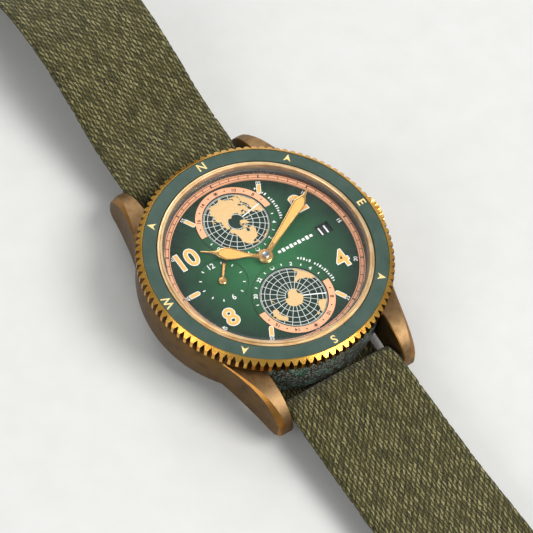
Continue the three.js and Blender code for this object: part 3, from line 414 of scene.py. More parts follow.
# ---------------------------------------------------------------- finishes
class Recipe:
    """The node tree of one finish, built step by step. Its coordinates are in millimetres."""

    def __init__(self, name: str) -> None:
        """Starts a material with a plain shader."""
        self.material = bpy.data.materials.new(name)
        self.material.use_nodes = True
        self.tree = self.material.node_tree
        self.shader = self.tree.nodes["Principled BSDF"]
        coords = self.node("ShaderNodeTexCoord")
        self.place = self.scaled(coords.outputs["Object"], 1 / MM)
        self.raw = coords

    def node(
        self, kind: str, inputs: dict[int | str, Value] | None = None, **settings: Setting
    ) -> bpy.types.Node:
        """Adds a node with its settings and its inputs, which are sockets or values."""
        node = self.tree.nodes.new(kind)
        for key, value in settings.items():
            setattr(node, key, value)
        for key, value in (inputs or {}).items():
            self.feed(node.inputs[key], value)
        return node

    def feed(self, socket: Socket, value: Value) -> None:
        """Gives a socket a link or a value."""
        if isinstance(value, Socket):
            self.tree.links.new(value, socket)
        else:
            socket.default_value = value

    def surface(self, **inputs: Value) -> None:
        """Sets the shader's inputs by name, with _ for a space."""
        for key, value in inputs.items():
            self.feed(self.shader.inputs[key.replace("_", " ")], value)

    def math(self, operation: str, a: Value, b: Value = 0.0, c: Value = 0.0) -> Socket:
        """One step of arithmetic."""
        return self.node("ShaderNodeMath", {0: a, 1: b, 2: c}, operation=operation).outputs[0]

    def times(self, a: Value, b: Value) -> Socket:
        """a times b."""
        return self.math("MULTIPLY", a, b)

    def plus(self, a: Value, b: Value) -> Socket:
        """a plus b."""
        return self.math("ADD", a, b)

    def minus(self, a: Value, b: Value) -> Socket:
        """a less b."""
        return self.math("SUBTRACT", a, b)

    def times_plus(self, a: Value, b: Value, c: Value) -> Socket:
        """a times b, plus c."""
        return self.math("MULTIPLY_ADD", a, b, c)

    def vector(self, operation: str, a: Value, b: Value) -> Socket:
        """One step of arithmetic on places."""
        return self.node("ShaderNodeVectorMath", {0: a, 1: b}, operation=operation).outputs[0]

    def scaled(self, place: Value, scale: float) -> Socket:
        """A place multiplied by a number."""
        return self.node("ShaderNodeVectorMath", {0: place, 3: scale}, operation="SCALE").outputs[0]

    def shifted(self, centre: Point) -> Socket:
        """The coordinates measured from a centre on the dial."""
        return self.vector("SUBTRACT", self.place, (*centre, 0))

    def axes(self, place: Socket | None = None) -> tuple[Socket, Socket, Socket]:
        """The X, Y and Z of a place."""
        split = self.node("ShaderNodeSeparateXYZ", {0: place or self.place})
        return split.outputs[0], split.outputs[1], split.outputs[2]

    def polar(self, place: Socket | None = None) -> tuple[Socket, Socket]:
        """The radius and the angle of a place about the Z axis."""
        x, y, _ = self.axes(place)
        square = self.plus(self.times(x, x), self.times(y, y))
        return self.math("SQRT", square), self.math("ARCTAN2", y, x)

    def join3(self, x: Value, y: Value, z: Value = 0.0) -> Socket:
        """A place from its three parts."""
        return self.node("ShaderNodeCombineXYZ", {0: x, 1: y, 2: z}).outputs[0]

    def stretched(self, x: float, y: float, z: float, place: Socket | None = None) -> Socket:
        """A place with its axes multiplied, to stretch a grain."""
        return self.vector("MULTIPLY", place or self.place, (x, y, z))

    def noise(
        self, scale: float, detail: float = 3.0, place: Socket | None = None, rough: float = 0.55
    ) -> Socket:
        """Cloudy noise with features about 1/scale millimetres wide, from 0 to 1."""
        return self.node(
            "ShaderNodeTexNoise",
            {"Vector": place or self.place, "Scale": scale, "Detail": detail, "Roughness": rough},
        ).outputs["Fac"]

    def spread(
        self, value: Socket, low: float, high: float, to_low: float = 0.0, to_high: float = 1.0
    ) -> Socket:
        """A value's range from low to high mapped to another and clamped."""
        return self.node(
            "ShaderNodeMapRange", {0: value, 1: low, 2: high, 3: to_low, 4: to_high}
        ).outputs[0]

    def mix(self, factor: Value, a: Value, b: Value) -> Socket:
        """Colour a turning into colour b."""
        node = self.node("ShaderNodeMix", data_type="RGBA")
        for index, value in ((0, factor), (6, a), (7, b)):
            self.feed(node.inputs[index], value)
        return node.outputs[2]

    def band(self, value: Socket, centre: float, half: float, soft: float) -> Socket:
        """1 within half of a centre, falling to 0 over soft."""
        away = self.math("ABSOLUTE", self.minus(value, centre))
        return self.spread(away, half, half + soft, 1.0, 0.0)

    def bump(self, height: Socket, distance: float, strength: float = 1.0) -> None:
        """Raises the surface by up to a distance in millimetres."""
        node = self.node(
            "ShaderNodeBump", {"Height": height, "Distance": distance * MM, "Strength": strength}
        )
        self.feed(self.shader.inputs["Normal"], node.outputs[0])


class Grain(Enum):
    """Which way a metal's brush marks run."""

    ROUND = "round"
    LENGTH = "length"
    SWIRL = "swirl"
    FACE = "face"


@dataclass(frozen=True)
class Metal:
    """A worked metal with brush marks, blotches and tarnish in its low places; where asked, a painted shade
    and specks of verdigris on the band between the lugs.
    """

    name: str
    light: Colour
    dark: Colour
    roughness: float
    grain: Grain = Grain.FACE
    marks: float = 0.006
    tarnish: float = 0.3
    blotch: float = 0.5
    verdigris: float = 0.0
    deposit: Colour = paint(52, 128, 104)
    frost: Colour = paint(150, 158, 150)

    def make(self) -> Finish:
        """Builds the material."""
        r = Recipe(self.name)
        radius, angle = r.polar()
        z = r.axes()[2]
        if self.grain is Grain.ROUND:
            place = r.join3(r.times(angle, 3.0), r.times(z, 22.0), r.times(radius, 22.0))
        elif self.grain is Grain.LENGTH:
            place = r.stretched(22.0, 1.4, 18.0)
        elif self.grain is Grain.SWIRL:
            place = r.join3(r.times(angle, 60.0), r.times(radius, 0.5), z)
        else:
            place = r.stretched(9.0, 9.0, 9.0)
        lines = r.noise(1.0, 4.0, place, 0.65)
        clouds = r.noise(self.blotch, 4.0)
        fine = r.noise(14.0, 2.0)
        shade = r.times_plus(lines, 0.45, r.times(clouds, 0.55))
        colour = r.mix(r.spread(shade, 0.35, 0.62), self.dark, self.light)
        stained = r.mix(r.times(r.spread(clouds, 0.52, 0.7), self.tarnish), colour, darker(self.dark, 0.45))
        if self.verdigris:
            x, y, _ = r.axes()
            between = r.times(r.spread(r.math("ABSOLUTE", x), 10.6, 11.4, 1.0, 0.0), self.verdigris)
            specks = r.times(between, r.spread(r.noise(2.2, 4.0), 0.5, 0.58))
            flecks = r.times(between, r.spread(r.noise(3.5, 4.0), 0.54, 0.58))
            # Painted shade: between the lugs, |x| under about 11 mm, the colour is darkened nearly to black;
            # the verdigris crust and pale flecks lie on top of it.
            dim = r.mix(r.times(between, 0.85), stained, paint(22, 27, 24))
            crust = r.times(specks, r.spread(r.noise(0.5, 2.0), 0.52, 0.62))
            stained = r.mix(flecks, r.mix(crust, dim, self.deposit), self.frost)
            r.surface(Metallic=r.minus(1.0, r.times(between, 0.7)))
        else:
            r.surface(Metallic=1.0)
        r.surface(Base_Color=stained)
        wear = r.times_plus(lines, 0.5, r.times(fine, 0.5))
        r.surface(Roughness=r.spread(wear, 0.3, 0.7, self.roughness * 0.75, self.roughness * 1.3))
        r.bump(r.plus(lines, r.times(fine, 0.3)), self.marks)
        return r.material


@dataclass(frozen=True)
class Enamel:
    """A hard painted or printed surface with a faint unevenness."""

    name: str
    colour: Colour
    shade: Colour
    roughness: float = 0.45
    relief: float = 0.004
    scale: float = 5.0

    def make(self) -> Finish:
        """Builds the material."""
        r = Recipe(self.name)
        clouds = r.noise(self.scale, 4.0)
        fine = r.noise(self.scale * 6, 2.0)
        r.surface(Base_Color=r.mix(r.spread(clouds, 0.35, 0.65), self.colour, self.shade))
        r.surface(Roughness=r.spread(fine, 0.3, 0.7, self.roughness - 0.06, self.roughness + 0.08))
        r.bump(fine, self.relief)
        return r.material


@dataclass(frozen=True)
class InsertCoat:
    """The bezel insert's dull grey-green coat, with faint circular marks and rubbed patches."""

    name: str = "insert_green"
    colour: Colour = paint(56, 76, 66)
    deep: Colour = paint(42, 66, 54)

    def make(self) -> Finish:
        """Builds the material."""
        r = Recipe(self.name)
        radius, angle = r.polar()
        rings = r.noise(1.0, 3.0, r.join3(r.times(radius, 9.0), r.times(angle, 2.0)))
        clouds = r.noise(0.35, 4.0)
        fine = r.noise(16.0, 2.0)
        tone = r.times_plus(rings, 0.3, r.times(clouds, 0.7))
        r.surface(Base_Color=r.mix(r.spread(tone, 0.36, 0.62), self.deep, self.colour))
        r.surface(Roughness=r.spread(clouds, 0.3, 0.7, 0.38, 0.5), Specular_IOR_Level=0.5)
        r.bump(r.times_plus(rings, 0.6, r.times(fine, 0.4)), 0.01)
        return r.material


@dataclass(frozen=True)
class SmokedDial:
    """The dial's green, which darkens towards its edge, under a clear coat."""

    name: str = "dial_green"
    centre: Colour = paint(36, 102, 56)
    edge: Colour = paint(9, 25, 18)
    inner: float = 2.0
    outer: float = 15.0

    def make(self) -> Finish:
        """Builds the material."""
        r = Recipe(self.name)
        radius, angle = r.polar()
        rays = r.noise(1.0, 3.0, r.join3(r.times(angle, 38.0), r.times(radius, 0.08)))
        clouds = r.noise(0.5, 3.0)
        fade = r.plus(r.spread(radius, self.inner, self.outer), r.spread(clouds, 0.3, 0.7, -0.05, 0.05))
        colour = r.mix(fade, self.centre, self.edge)
        bright = r.mix(r.spread(rays, 0.35, 0.65, 0.0, 0.16), colour, self.centre)
        r.surface(Base_Color=bright, Specular_IOR_Level=0.2, Coat_Weight=0.06, Coat_Roughness=0.12)
        r.surface(Roughness=r.spread(rays, 0.3, 0.7, 0.34, 0.46))
        r.bump(rays, 0.003)
        return r.material


@dataclass(frozen=True)
class GlobePrint:
    """A printed half globe: dark sea that darkens towards the dome's rim as painted shade, pale land with a
    fine edge, and a net of meridians and parallels.
    """

    name: str
    centre: Point
    radius: float
    meridian: float
    sea: Colour = paint(18, 44, 30)
    land: Colour = paint(224, 186, 130)
    line: Colour = paint(225, 232, 222)

    def make(self) -> Finish:
        """Builds the material."""
        r = Recipe(self.name)
        radius, angle = r.polar(r.shifted(self.centre))
        land = r.node("ShaderNodeAttribute", attribute_name="land").outputs["Fac"]
        ragged = r.plus(land, r.spread(r.noise(5.0, 3.0), 0.3, 0.7, -0.05, 0.05))
        ground = r.spread(ragged, -0.02, 0.03)
        tone = r.mix(r.noise(2.5, 3.0), self.land, darker(self.land, 0.8))
        # Painted shade: the sea darkens to 45 per cent of its colour towards the rim of the dome.
        sea = r.mix(r.spread(radius, 0.0, self.radius), self.sea, darker(self.sea, 0.45))
        colour = r.mix(ground, sea, tone)
        step = math.radians(15)
        turn = r.math("DIVIDE", r.plus(angle, 8 * math.pi - math.radians(self.meridian)), step)
        beside = r.math("ABSOLUTE", r.minus(r.math("FRACT", r.plus(turn, 0.5)), 0.5))
        spoke = r.spread(r.times(r.times(beside, step), radius), 0.025, 0.06, 1.0, 0.0)
        spoke = r.times(spoke, r.spread(radius, self.radius * 0.25, self.radius * 0.26))
        hoop: Value = 0.0
        for latitude in (75, 60, 45, 30, 15, 0):
            ring = r.band(radius, (self.radius - 0.06) * math.cos(math.radians(latitude)), 0.025, 0.035)
            hoop = r.math("MAXIMUM", hoop, ring)
        net = r.times(r.math("MAXIMUM", spoke, hoop), r.minus(0.85, ground))
        netted = r.mix(r.math("MAXIMUM", net, 0.0), colour, self.line)
        r.surface(Base_Color=netted, Specular_IOR_Level=0.2, Coat_Weight=0.06, Coat_Roughness=0.15)
        r.surface(Roughness=r.spread(r.noise(9.0, 2.0), 0.3, 0.7, 0.35, 0.5))
        r.bump(r.times_plus(ground, 1.0, r.times(net, 0.6)), 0.03)
        return r.material


@dataclass(frozen=True)
class ClearCrystal:
    """Coated sapphire: almost invisible from above, with a painted reflection on its polished edge."""

    name: str
    edge: float
    tint: Colour = paint(225, 238, 240)

    def make(self) -> Finish:
        """Builds the material."""
        r = Recipe(self.name)
        radius, _ = r.polar()
        # Painted reflection: the alpha rises from 0.012 to 0.1 over the outer 0.4 mm, so the pale tint shows
        # as a bright edge.
        rim = r.spread(radius, self.edge - 0.4, self.edge, 0.012, 0.1)
        haze = r.spread(r.noise(0.3, 2.0), 0.3, 0.7, -0.003, 0.004)
        r.surface(Base_Color=self.tint, Roughness=0.04, Alpha=r.plus(rim, haze), IOR=1.77)
        r.surface(Specular_IOR_Level=0.6, Coat_Weight=0.3, Coat_Roughness=0.02)
        return r.material


@dataclass(frozen=True)
class Webbing:
    """Coarse matt webbing on the UV map: staggered slanted yarn floats, painted shade in the gaps and painted
    highlights on the pale fuzzy crowns.
    """

    name: str
    # The crown colour is painted highlight on the yarn tops, the gap colour painted shade between them.
    crown: Colour = paint(150, 142, 96)
    yarn: Colour = paint(84, 78, 32)
    gap: Colour = paint(14, 13, 2)
    pitch: float = 0.55
    length: float = 1.25
    slant: float = 0.8
    wander: float = 0.8

    def make(self) -> Finish:
        """Builds the material."""
        r = Recipe(self.name)
        uv = r.raw.outputs["UV"]
        wander = r.node("ShaderNodeTexNoise", {"Vector": uv, "Scale": 1.3, "Detail": 3.0})
        drift = r.scaled(r.vector("SUBTRACT", wander.outputs["Color"], (0.5, 0.5, 0.5)), self.wander)
        bent = r.vector("ADD", uv, drift)
        u, v, _ = r.axes(bent)
        column_place = r.math("DIVIDE", u, self.pitch)
        column = r.math("FLOOR", column_place)
        across = r.minus(r.math("FRACT", column_place), 0.5)
        stagger = r.times(r.math("FLOORED_MODULO", column, 2.0), 0.5)
        lean = r.times(across, self.slant)
        row_place = r.plus(r.plus(r.math("DIVIDE", v, self.length), stagger), lean)
        row = r.math("FLOOR", row_place)
        along = r.minus(r.math("FRACT", row_place), 0.5)
        dice = r.node("ShaderNodeTexWhiteNoise", {"Vector": r.join3(column, row)}, noise_dimensions="2D")
        chance = dice.outputs["Value"]
        round_u = r.minus(1.0, r.times(r.times(across, across), 4.0))
        round_v = r.minus(1.0, r.math("POWER", r.times(r.math("ABSOLUTE", along), 2.0), 3.0))
        hump = r.times(round_u, round_v)
        fuzz = r.noise(7.0, 5.0, r.stretched(1.6, 0.7, 1.0, uv), 0.7)
        twist = r.noise(1.0, 2.0, r.stretched(14.0, 4.0, 1.0, bent))
        height = r.times_plus(fuzz, 0.8, r.times(hump, r.spread(chance, 0.0, 1.0, 0.4, 0.9)))
        # Painted shade: the low parts of the weave darken towards the gap colour.
        deep = r.mix(r.spread(height, 0.45, 0.95), self.gap, self.yarn)
        # Painted highlight: the highest parts of the yarns lighten towards the crown colour.
        lit_crowns = r.mix(r.spread(r.times_plus(twist, 0.6, height), 1.1, 1.6), deep, self.crown)
        blotch = r.noise(0.25, 3.0, uv)
        dusty = r.mix(r.spread(blotch, 0.35, 0.7, 0.0, 0.25), lit_crowns, self.yarn)
        r.surface(Base_Color=dusty, Roughness=0.95, Specular_IOR_Level=0.15)
        r.surface(Sheen_Weight=0.12, Sheen_Roughness=0.6)
        r.bump(r.times_plus(twist, 0.25, height), 0.22, 0.9)
        return r.material


@dataclass(frozen=True)
class Matt:
    """Rubber, plain paper or another dull stuff with a fine tooth."""

    name: str
    colour: Colour
    shade: Colour
    roughness: float = 0.8
    scale: float = 4.0
    relief: float = 0.02

    def make(self) -> Finish:
        """Builds the material."""
        r = Recipe(self.name)
        tooth = r.noise(self.scale, 4.0)
        r.surface(Base_Color=r.mix(tooth, self.colour, self.shade), Roughness=self.roughness)
        r.bump(tooth, self.relief)
        return r.material


class Finishes:
    """Every finish of the watch, made once."""

    def __init__(self) -> None:
        """Builds the materials."""
        metal, enamel = self.metal, self.enamel
        spun, long = Grain.ROUND, Grain.LENGTH
        self.bezel = metal("bezel_bronze", (244, 190, 92), (206, 142, 52), 0.2, spun, 0.004, 0.15)
        self.groove = metal("groove_bronze", (112, 70, 26), (60, 34, 12), 0.4, spun, 0.006, 0.6)
        self.polish = metal("polished_bronze", (164, 118, 60), (130, 84, 34), 0.34, long, 0.003, 0.1)
        # The last 1.0 paints shade, with verdigris specks, on the band between the lugs.
        self.flank = metal("brushed_bronze_shaded_between_lugs", (124, 92, 48), (72, 52, 24), 0.4, spun, 0.016, 0.5, 0.5, 1.0)
        self.lug = metal("lug_bronze", (150, 120, 84), (98, 74, 46), 0.45, long, 0.018, 0.5, 0.6)
        self.retainer = metal("retainer_bronze", (248, 218, 172), (216, 172, 116), 0.42, spun, 0.004, 0.1)
        self.insert = InsertCoat().make()
        self.inlay = enamel("inlay_gold", (240, 216, 150), (222, 188, 118), 0.4)
        self.dial = SmokedDial().make()
        self.copper = enamel("copper_ring", (244, 178, 136), (232, 160, 116), 0.4, 0.003)
        self.gilt = metal("rose_gilt", (252, 206, 134), (230, 168, 92), 0.24, long, 0.002, 0.0)
        self.lume = enamel("lume_beige", (240, 184, 98), (230, 160, 70), 0.6, 0.01, 7.0)
        self.white = enamel("white_print", (240, 240, 234), (222, 224, 218), 0.5, 0.003)
        self.dark = enamel("dark_print", (52, 34, 26), (36, 26, 20), 0.5, 0.003)
        self.black = enamel("date_black", (7, 7, 8), (12, 12, 12), 0.6, 0.003)
        self.steel = metal("steel", (198, 200, 203), (150, 152, 155), 0.26, long, 0.003, 0.1)
        self.steel_turned = metal("turned_steel", (188, 190, 194), (140, 142, 146), 0.3, spun, 0.006, 0.15)
        self.brass = metal("movement_brass", (214, 182, 110), (168, 136, 72), 0.32, long, 0.004, 0.15)
        self.rubber = Matt("seal_rubber", paint(26, 26, 26), paint(40, 40, 40)).make()
        self.webbing = Webbing("olive_weave").make()
        self.floor = Matt("pale_table", paint(205, 204, 200), paint(196, 195, 190), 0.85, 0.2, 0.05).make()

    @staticmethod
    def metal(name: str, light: Screen, dark: Screen, roughness: float, grain: Grain, *wear: float) -> Finish:
        """A metal from its two screen colours; wear is its marks, tarnish, blotch, and the verdigris with
        painted shade between the lugs.
        """
        return Metal(name, paint(*light), paint(*dark), roughness, grain, *wear).make()

    @staticmethod
    def enamel(name: str, colour: Screen, shade: Screen, *surface: float) -> Finish:
        """An enamel from its two screen colours; surface is its roughness, relief and scale."""
        return Enamel(name, paint(*colour), paint(*shade), *surface).make()


# ---------------------------------------------------------------- bezel
@dataclass
class Bezel:
    """The turning bezel: a notched bronze ring with a compass insert."""

    finishes: Finishes
    notches: int = 100
    notch_depth: float = 0.62
    tooth_share: float = 0.36
    rim_width: float = 0.98
    rim_flat: float = 0.12
    rim_drop: float = 0.6
    insert_gap: float = 0.03

    def build(self) -> None:
        """Makes the ring, the insert and its markers."""
        cad = Extent.of("bezel_ring")
        self.top = cad.high.z
        self.tip = cad.size.x / 2
        self.rim_in = self.tip - self.rim_width
        self.ring(cad)
        self.insert()
        self.markers()

    def ring(self, cad: Extent) -> None:
        """Turns the ring's section and keeps what a toothed cutter leaves."""
        low, top, tip = cad.low.z, self.top, self.tip
        inner = Extent.of("bezel_insert").size.x / 2 - 2.25 - 0.03
        ledge = Extent.of("bezel_insert").low.z - 0.03
        body = turned(
            [
                (inner, low),
                (tip - 0.62, low),
                (tip - 0.62, low + 0.32),
                (tip - 0.3, low + 0.42),
                (tip, low + 0.68),
                (tip, top - self.rim_drop),
                (self.rim_in + self.rim_flat, top),
                (self.rim_in, top),
                (self.rim_in, ledge),
                (inner, ledge),
            ],
            facets=4 * self.notches,
        )
        pitch = 360 / self.notches
        half_tooth = pitch * self.tooth_share / 2
        valley = tip - self.notch_depth
        star: list[Point] = []
        for i in range(self.notches):
            middle = i * pitch
            star.append(clock(tip + 0.01, middle - half_tooth))
            star.append(clock(tip + 0.01, middle + half_tooth))
            star.append(clock(valley, middle + pitch / 2 - 0.12))
            star.append(clock(valley, middle + pitch / 2 + 0.12))
        ring = worked(body, plate([star], low - 1, top + 1), Cut.COMMON)
        ring.data.materials.append(self.finishes.bezel)
        ring.data.materials.append(self.finishes.groove)
        for face in ring.data.polygons:
            reach = math.hypot(face.center.x, face.center.y)
            if abs(face.normal.z) < 0.6 and valley - 0.1 < reach < tip - 0.08:
                face.material_index = 1
        bronze = self.finishes.bezel
        settle(ring, "notched_bezel_ring", bronze, "bezel", ["bezel_ring"], 22)

    def insert(self) -> None:
        """Turns the flat ring that carries the compass, with a fine chamfer at both edges."""
        cad = Extent.of("bezel_insert")
        outer = cad.size.x / 2
        inner, low, top = outer - 2.25, cad.low.z, cad.high.z
        chamfer = 0.08
        ring = turned(
            [
                (inner, low),
                (outer, low),
                (outer, top - chamfer),
                (outer - chamfer, top),
                (inner + chamfer, top),
                (inner, top - chamfer),
            ],
            facets=320,
        )
        settle(ring, "compass_insert", self.finishes.insert, "bezel", ["bezel_insert"], 20)

    def markers(self) -> None:
        """Inlays the four letters and the four arrowheads."""
        low, high = self.top - 0.04, self.top + 0.012
        arrow = [(0.0, 0.82), (0.62, -0.62), (0.0, -0.2), (-0.62, -0.62)]
        heads = plate([turned_outline(arrow, a, clock(18.83, a)) for a in (45, 135, 225, 315)], low, high)
        settle(heads, "compass_arrowheads", self.finishes.inlay, "bezel")
        letters = [
            lettering(word, 1.42, clock(18.95, a), low, high, a, 0.03)
            for word, a in (("N", 0), ("E", 90), ("S", 180), ("W", 270))
        ]
        settle(joined(letters), "compass_letters", self.finishes.inlay, "bezel")


# ---------------------------------------------------------------- case
@dataclass
class Case:
    """The case band with its four lugs."""

    finishes: Finishes
    lug_inner: float = 11.0
    tube_bore: float = 1.4
    tube_z: float = 7.3

    def build(self) -> None:
        """Makes the band and the lugs."""
        self.band()
        for side in (1, -1):
            for end in (1, -1):
                self.lug(side, end)

    def band(self) -> None:
        """Turns the case band with its neck and bores the crown tube's hole."""
        low = Extent.of("case_middle").low.z
        neck_top = Extent.of("case_middle").high.z
        body = turned(
            [
                (17.5, low),
                (18.17, low),
                (18.5, low + 0.12),
                (19.85, low + 0.78),
                (20.3, low + 1.15),
                (20.47, low + 1.7),
                (20.47, 9.9),
                (20.35, 10.28),
                (20.0, 10.42),
                (17.58, 10.42),
                (17.58, neck_top),
                (16.38, neck_top),
                (16.38, low + 0.5),
                (17.5, low + 0.5),
            ]
        )
        worked(body, rod(self.tube_bore, 6, Vector((19, 0, self.tube_z)), 32, math.pi / 2), Cut.AWAY)
        settle(body, "case_band", self.finishes.flank, "case", ["case_middle"], 25)

    def lug(self, side: int, end: int) -> None:
        """Lofts one lug from sections across it, with a polished stripe that widens towards its tip.

        Args:
            side: 1 for the crown side, -1 for the other.
            end: 1 for the 12 o'clock end, -1 for the other.
        """
        stations = [
            # distance out, top height, outer half width, stripe width, bottom height
            (11.0, 10.02, 16.95, 0.1, 4.6),
            (12.2, 10.02, 16.42, 0.12, 4.35),
            (13.4, 10.02, 16.0, 0.15, 4.1),
            (15.0, 10.02, 15.48, 0.2, 3.75),
            (16.6, 10.01, 15.02, 0.28, 3.4),
            (18.2, 9.94, 14.6, 0.38, 3.1),
            (19.6, 9.74, 14.28, 0.48, 2.9),
            (21.0, 9.4, 14.0, 0.6, 2.78),
            (22.2, 8.85, 13.82, 0.72, 2.72),
            (23.2, 8.2, 13.7, 0.84, 2.72),
            (24.0, 7.5, 13.58, 0.94, 2.85),
            (24.6, 6.75, 13.44, 1.02, 3.1),
            (25.0, 5.9, 13.26, 1.08, 3.4),
            (25.22, 5.1, 13.06, 1.12, 3.7),
            (25.28, 4.6, 12.9, 1.12, 4.0),
        ]
        rows = []
        for y, top, outer, stripe, bottom in stations:
            inner = self.lug_inner
            drop = min(stripe * 1.05, (top - bottom) * 0.6)
            section = [
                (inner + 0.12, bottom),
                (inner, bottom + 0.12),
                (inner, top - 0.2),
                (inner + 0.16, top),
                (outer - stripe, top),
                (outer, top - drop),
                (outer, bottom + 0.14),
                (outer - 0.14, bottom),
                (inner + 0.12, bottom),
            ]
            rows.append([Vector((side * x, end * y, z)) for x, z in section])
        piece = rows_surface(rows)
        piece.data.materials.append(self.finishes.lug)
        piece.data.materials.append(self.finishes.polish)
        piece.data.materials.append(self.finishes.flank)
        for face in piece.data.polygons:
            outward = face.normal.x * side
            if 0.3 < abs(outward) < 0.93 and abs(face.normal.y) < 0.95:
                face.material_index = 1
            elif outward > 0.9:
                face.material_index = 2
        names = {(1, 1): "12_right", (1, -1): "6_right", (-1, 1): "12_left", (-1, -1): "6_left"}
        settle(piece, f"lug_{names[side, end]}", self.finishes.lug, "case", smooth=24)


# ---------------------------------------------------------------- crystal
@dataclass
class Crystal:
    """The domed sapphire and the stepped ring that holds it."""

    finishes: Finishes

    def build(self) -> None:
        """Makes the crystal and its ring."""
        cad = Extent.of("crystal")
        radius, low, top = cad.size.x / 2, cad.low.z, cad.high.z
        rise = 0.5
        edge = top - rise
        upper = [(radius - 0.3, edge), (radius * 0.8, edge + rise * 0.36), (radius * 0.55, edge + rise * 0.7)]
        lower = [(radius * 0.55, low + rise * 0.7), (radius * 0.8, low + rise * 0.36), (radius - 0.5, low)]
        lens = turned(
            [(0.4, low + rise)] + lower + [(radius, low), (radius, edge - 0.3)] + upper + [(0.4, top)],
            Ends.CAPS,
        )
        clear = ClearCrystal("sapphire", radius).make()
        settle(lens, "domed_crystal", clear, "case", ["crystal"], 40)
        ring = Extent.of("crystal_ring")
        outer, low, top = ring.size.x / 2, ring.low.z, ring.high.z
        inner = outer - 0.85
        step = outer - 0.36
        body = turned(
            [
                (inner, low),
                (outer, low),
                (outer, top - 0.42),
                (outer - 0.06, top - 0.34),
                (step, top - 0.3),
                (step - 0.03, top - 0.08),
                (step - 0.1, top),
                (inner + 0.1, top),
                (inner, top - 0.1),
            ],
            facets=320,
        )
        bronze = self.finishes.retainer
        settle(body, "crystal_retaining_ring", bronze, "case", ["crystal_ring"], 22)


# ---------------------------------------------------------------- crown
@dataclass
class Crown:
    """The fluted winding crown."""

    finishes: Finishes
    flutes: int = 24
    flute_depth: float = 0.3
    bore: float = 1.85
    bore_depth: float = 1.3

    def build(self) -> None:
        """Makes the crown with rounded flutes and a plain domed boss."""
        cad = Extent.of("crown")
        radius, start, end = cad.size.z / 2, cad.low.x, cad.high.x
        z = cad.middle.z
        length = end - start
        points = []
        for i in range(self.flutes * 6):
            share = (i % 6) / 6
            depth = self.flute_depth * max(0.0, math.sin(math.pi * share)) ** 0.7
            points.append(clock(radius - depth, 360 * i / (self.flutes * 6)))
        body = turned(
            [
                (radius - 0.4, 0.0),
                (radius - 0.15, 0.1),
                (radius, 0.3),
                (radius, length - 0.5),
                (radius - 0.25, length - 0.22),
                (radius - 0.75, length - 0.1),
                (radius - 0.95, length - 0.2),
                (radius - 1.1, length - 0.2),
                (radius - 1.25, length - 0.06),
                (0.6, length),
            ],
            Ends.CAPS,
            144,
        )
        body = worked(body, plate([points], -1, length + 1), Cut.COMMON)
        worked(body, rod(self.bore, 2 * self.bore_depth, Vector((0, 0, 0)), 48), Cut.AWAY)
        body.data.transform(Matrix.Translation((start, 0, z)) @ Matrix.Rotation(math.pi / 2, 4, "Y"))
        settle(body, "fluted_crown", self.finishes.bezel, "crown", ["crown"], 28)


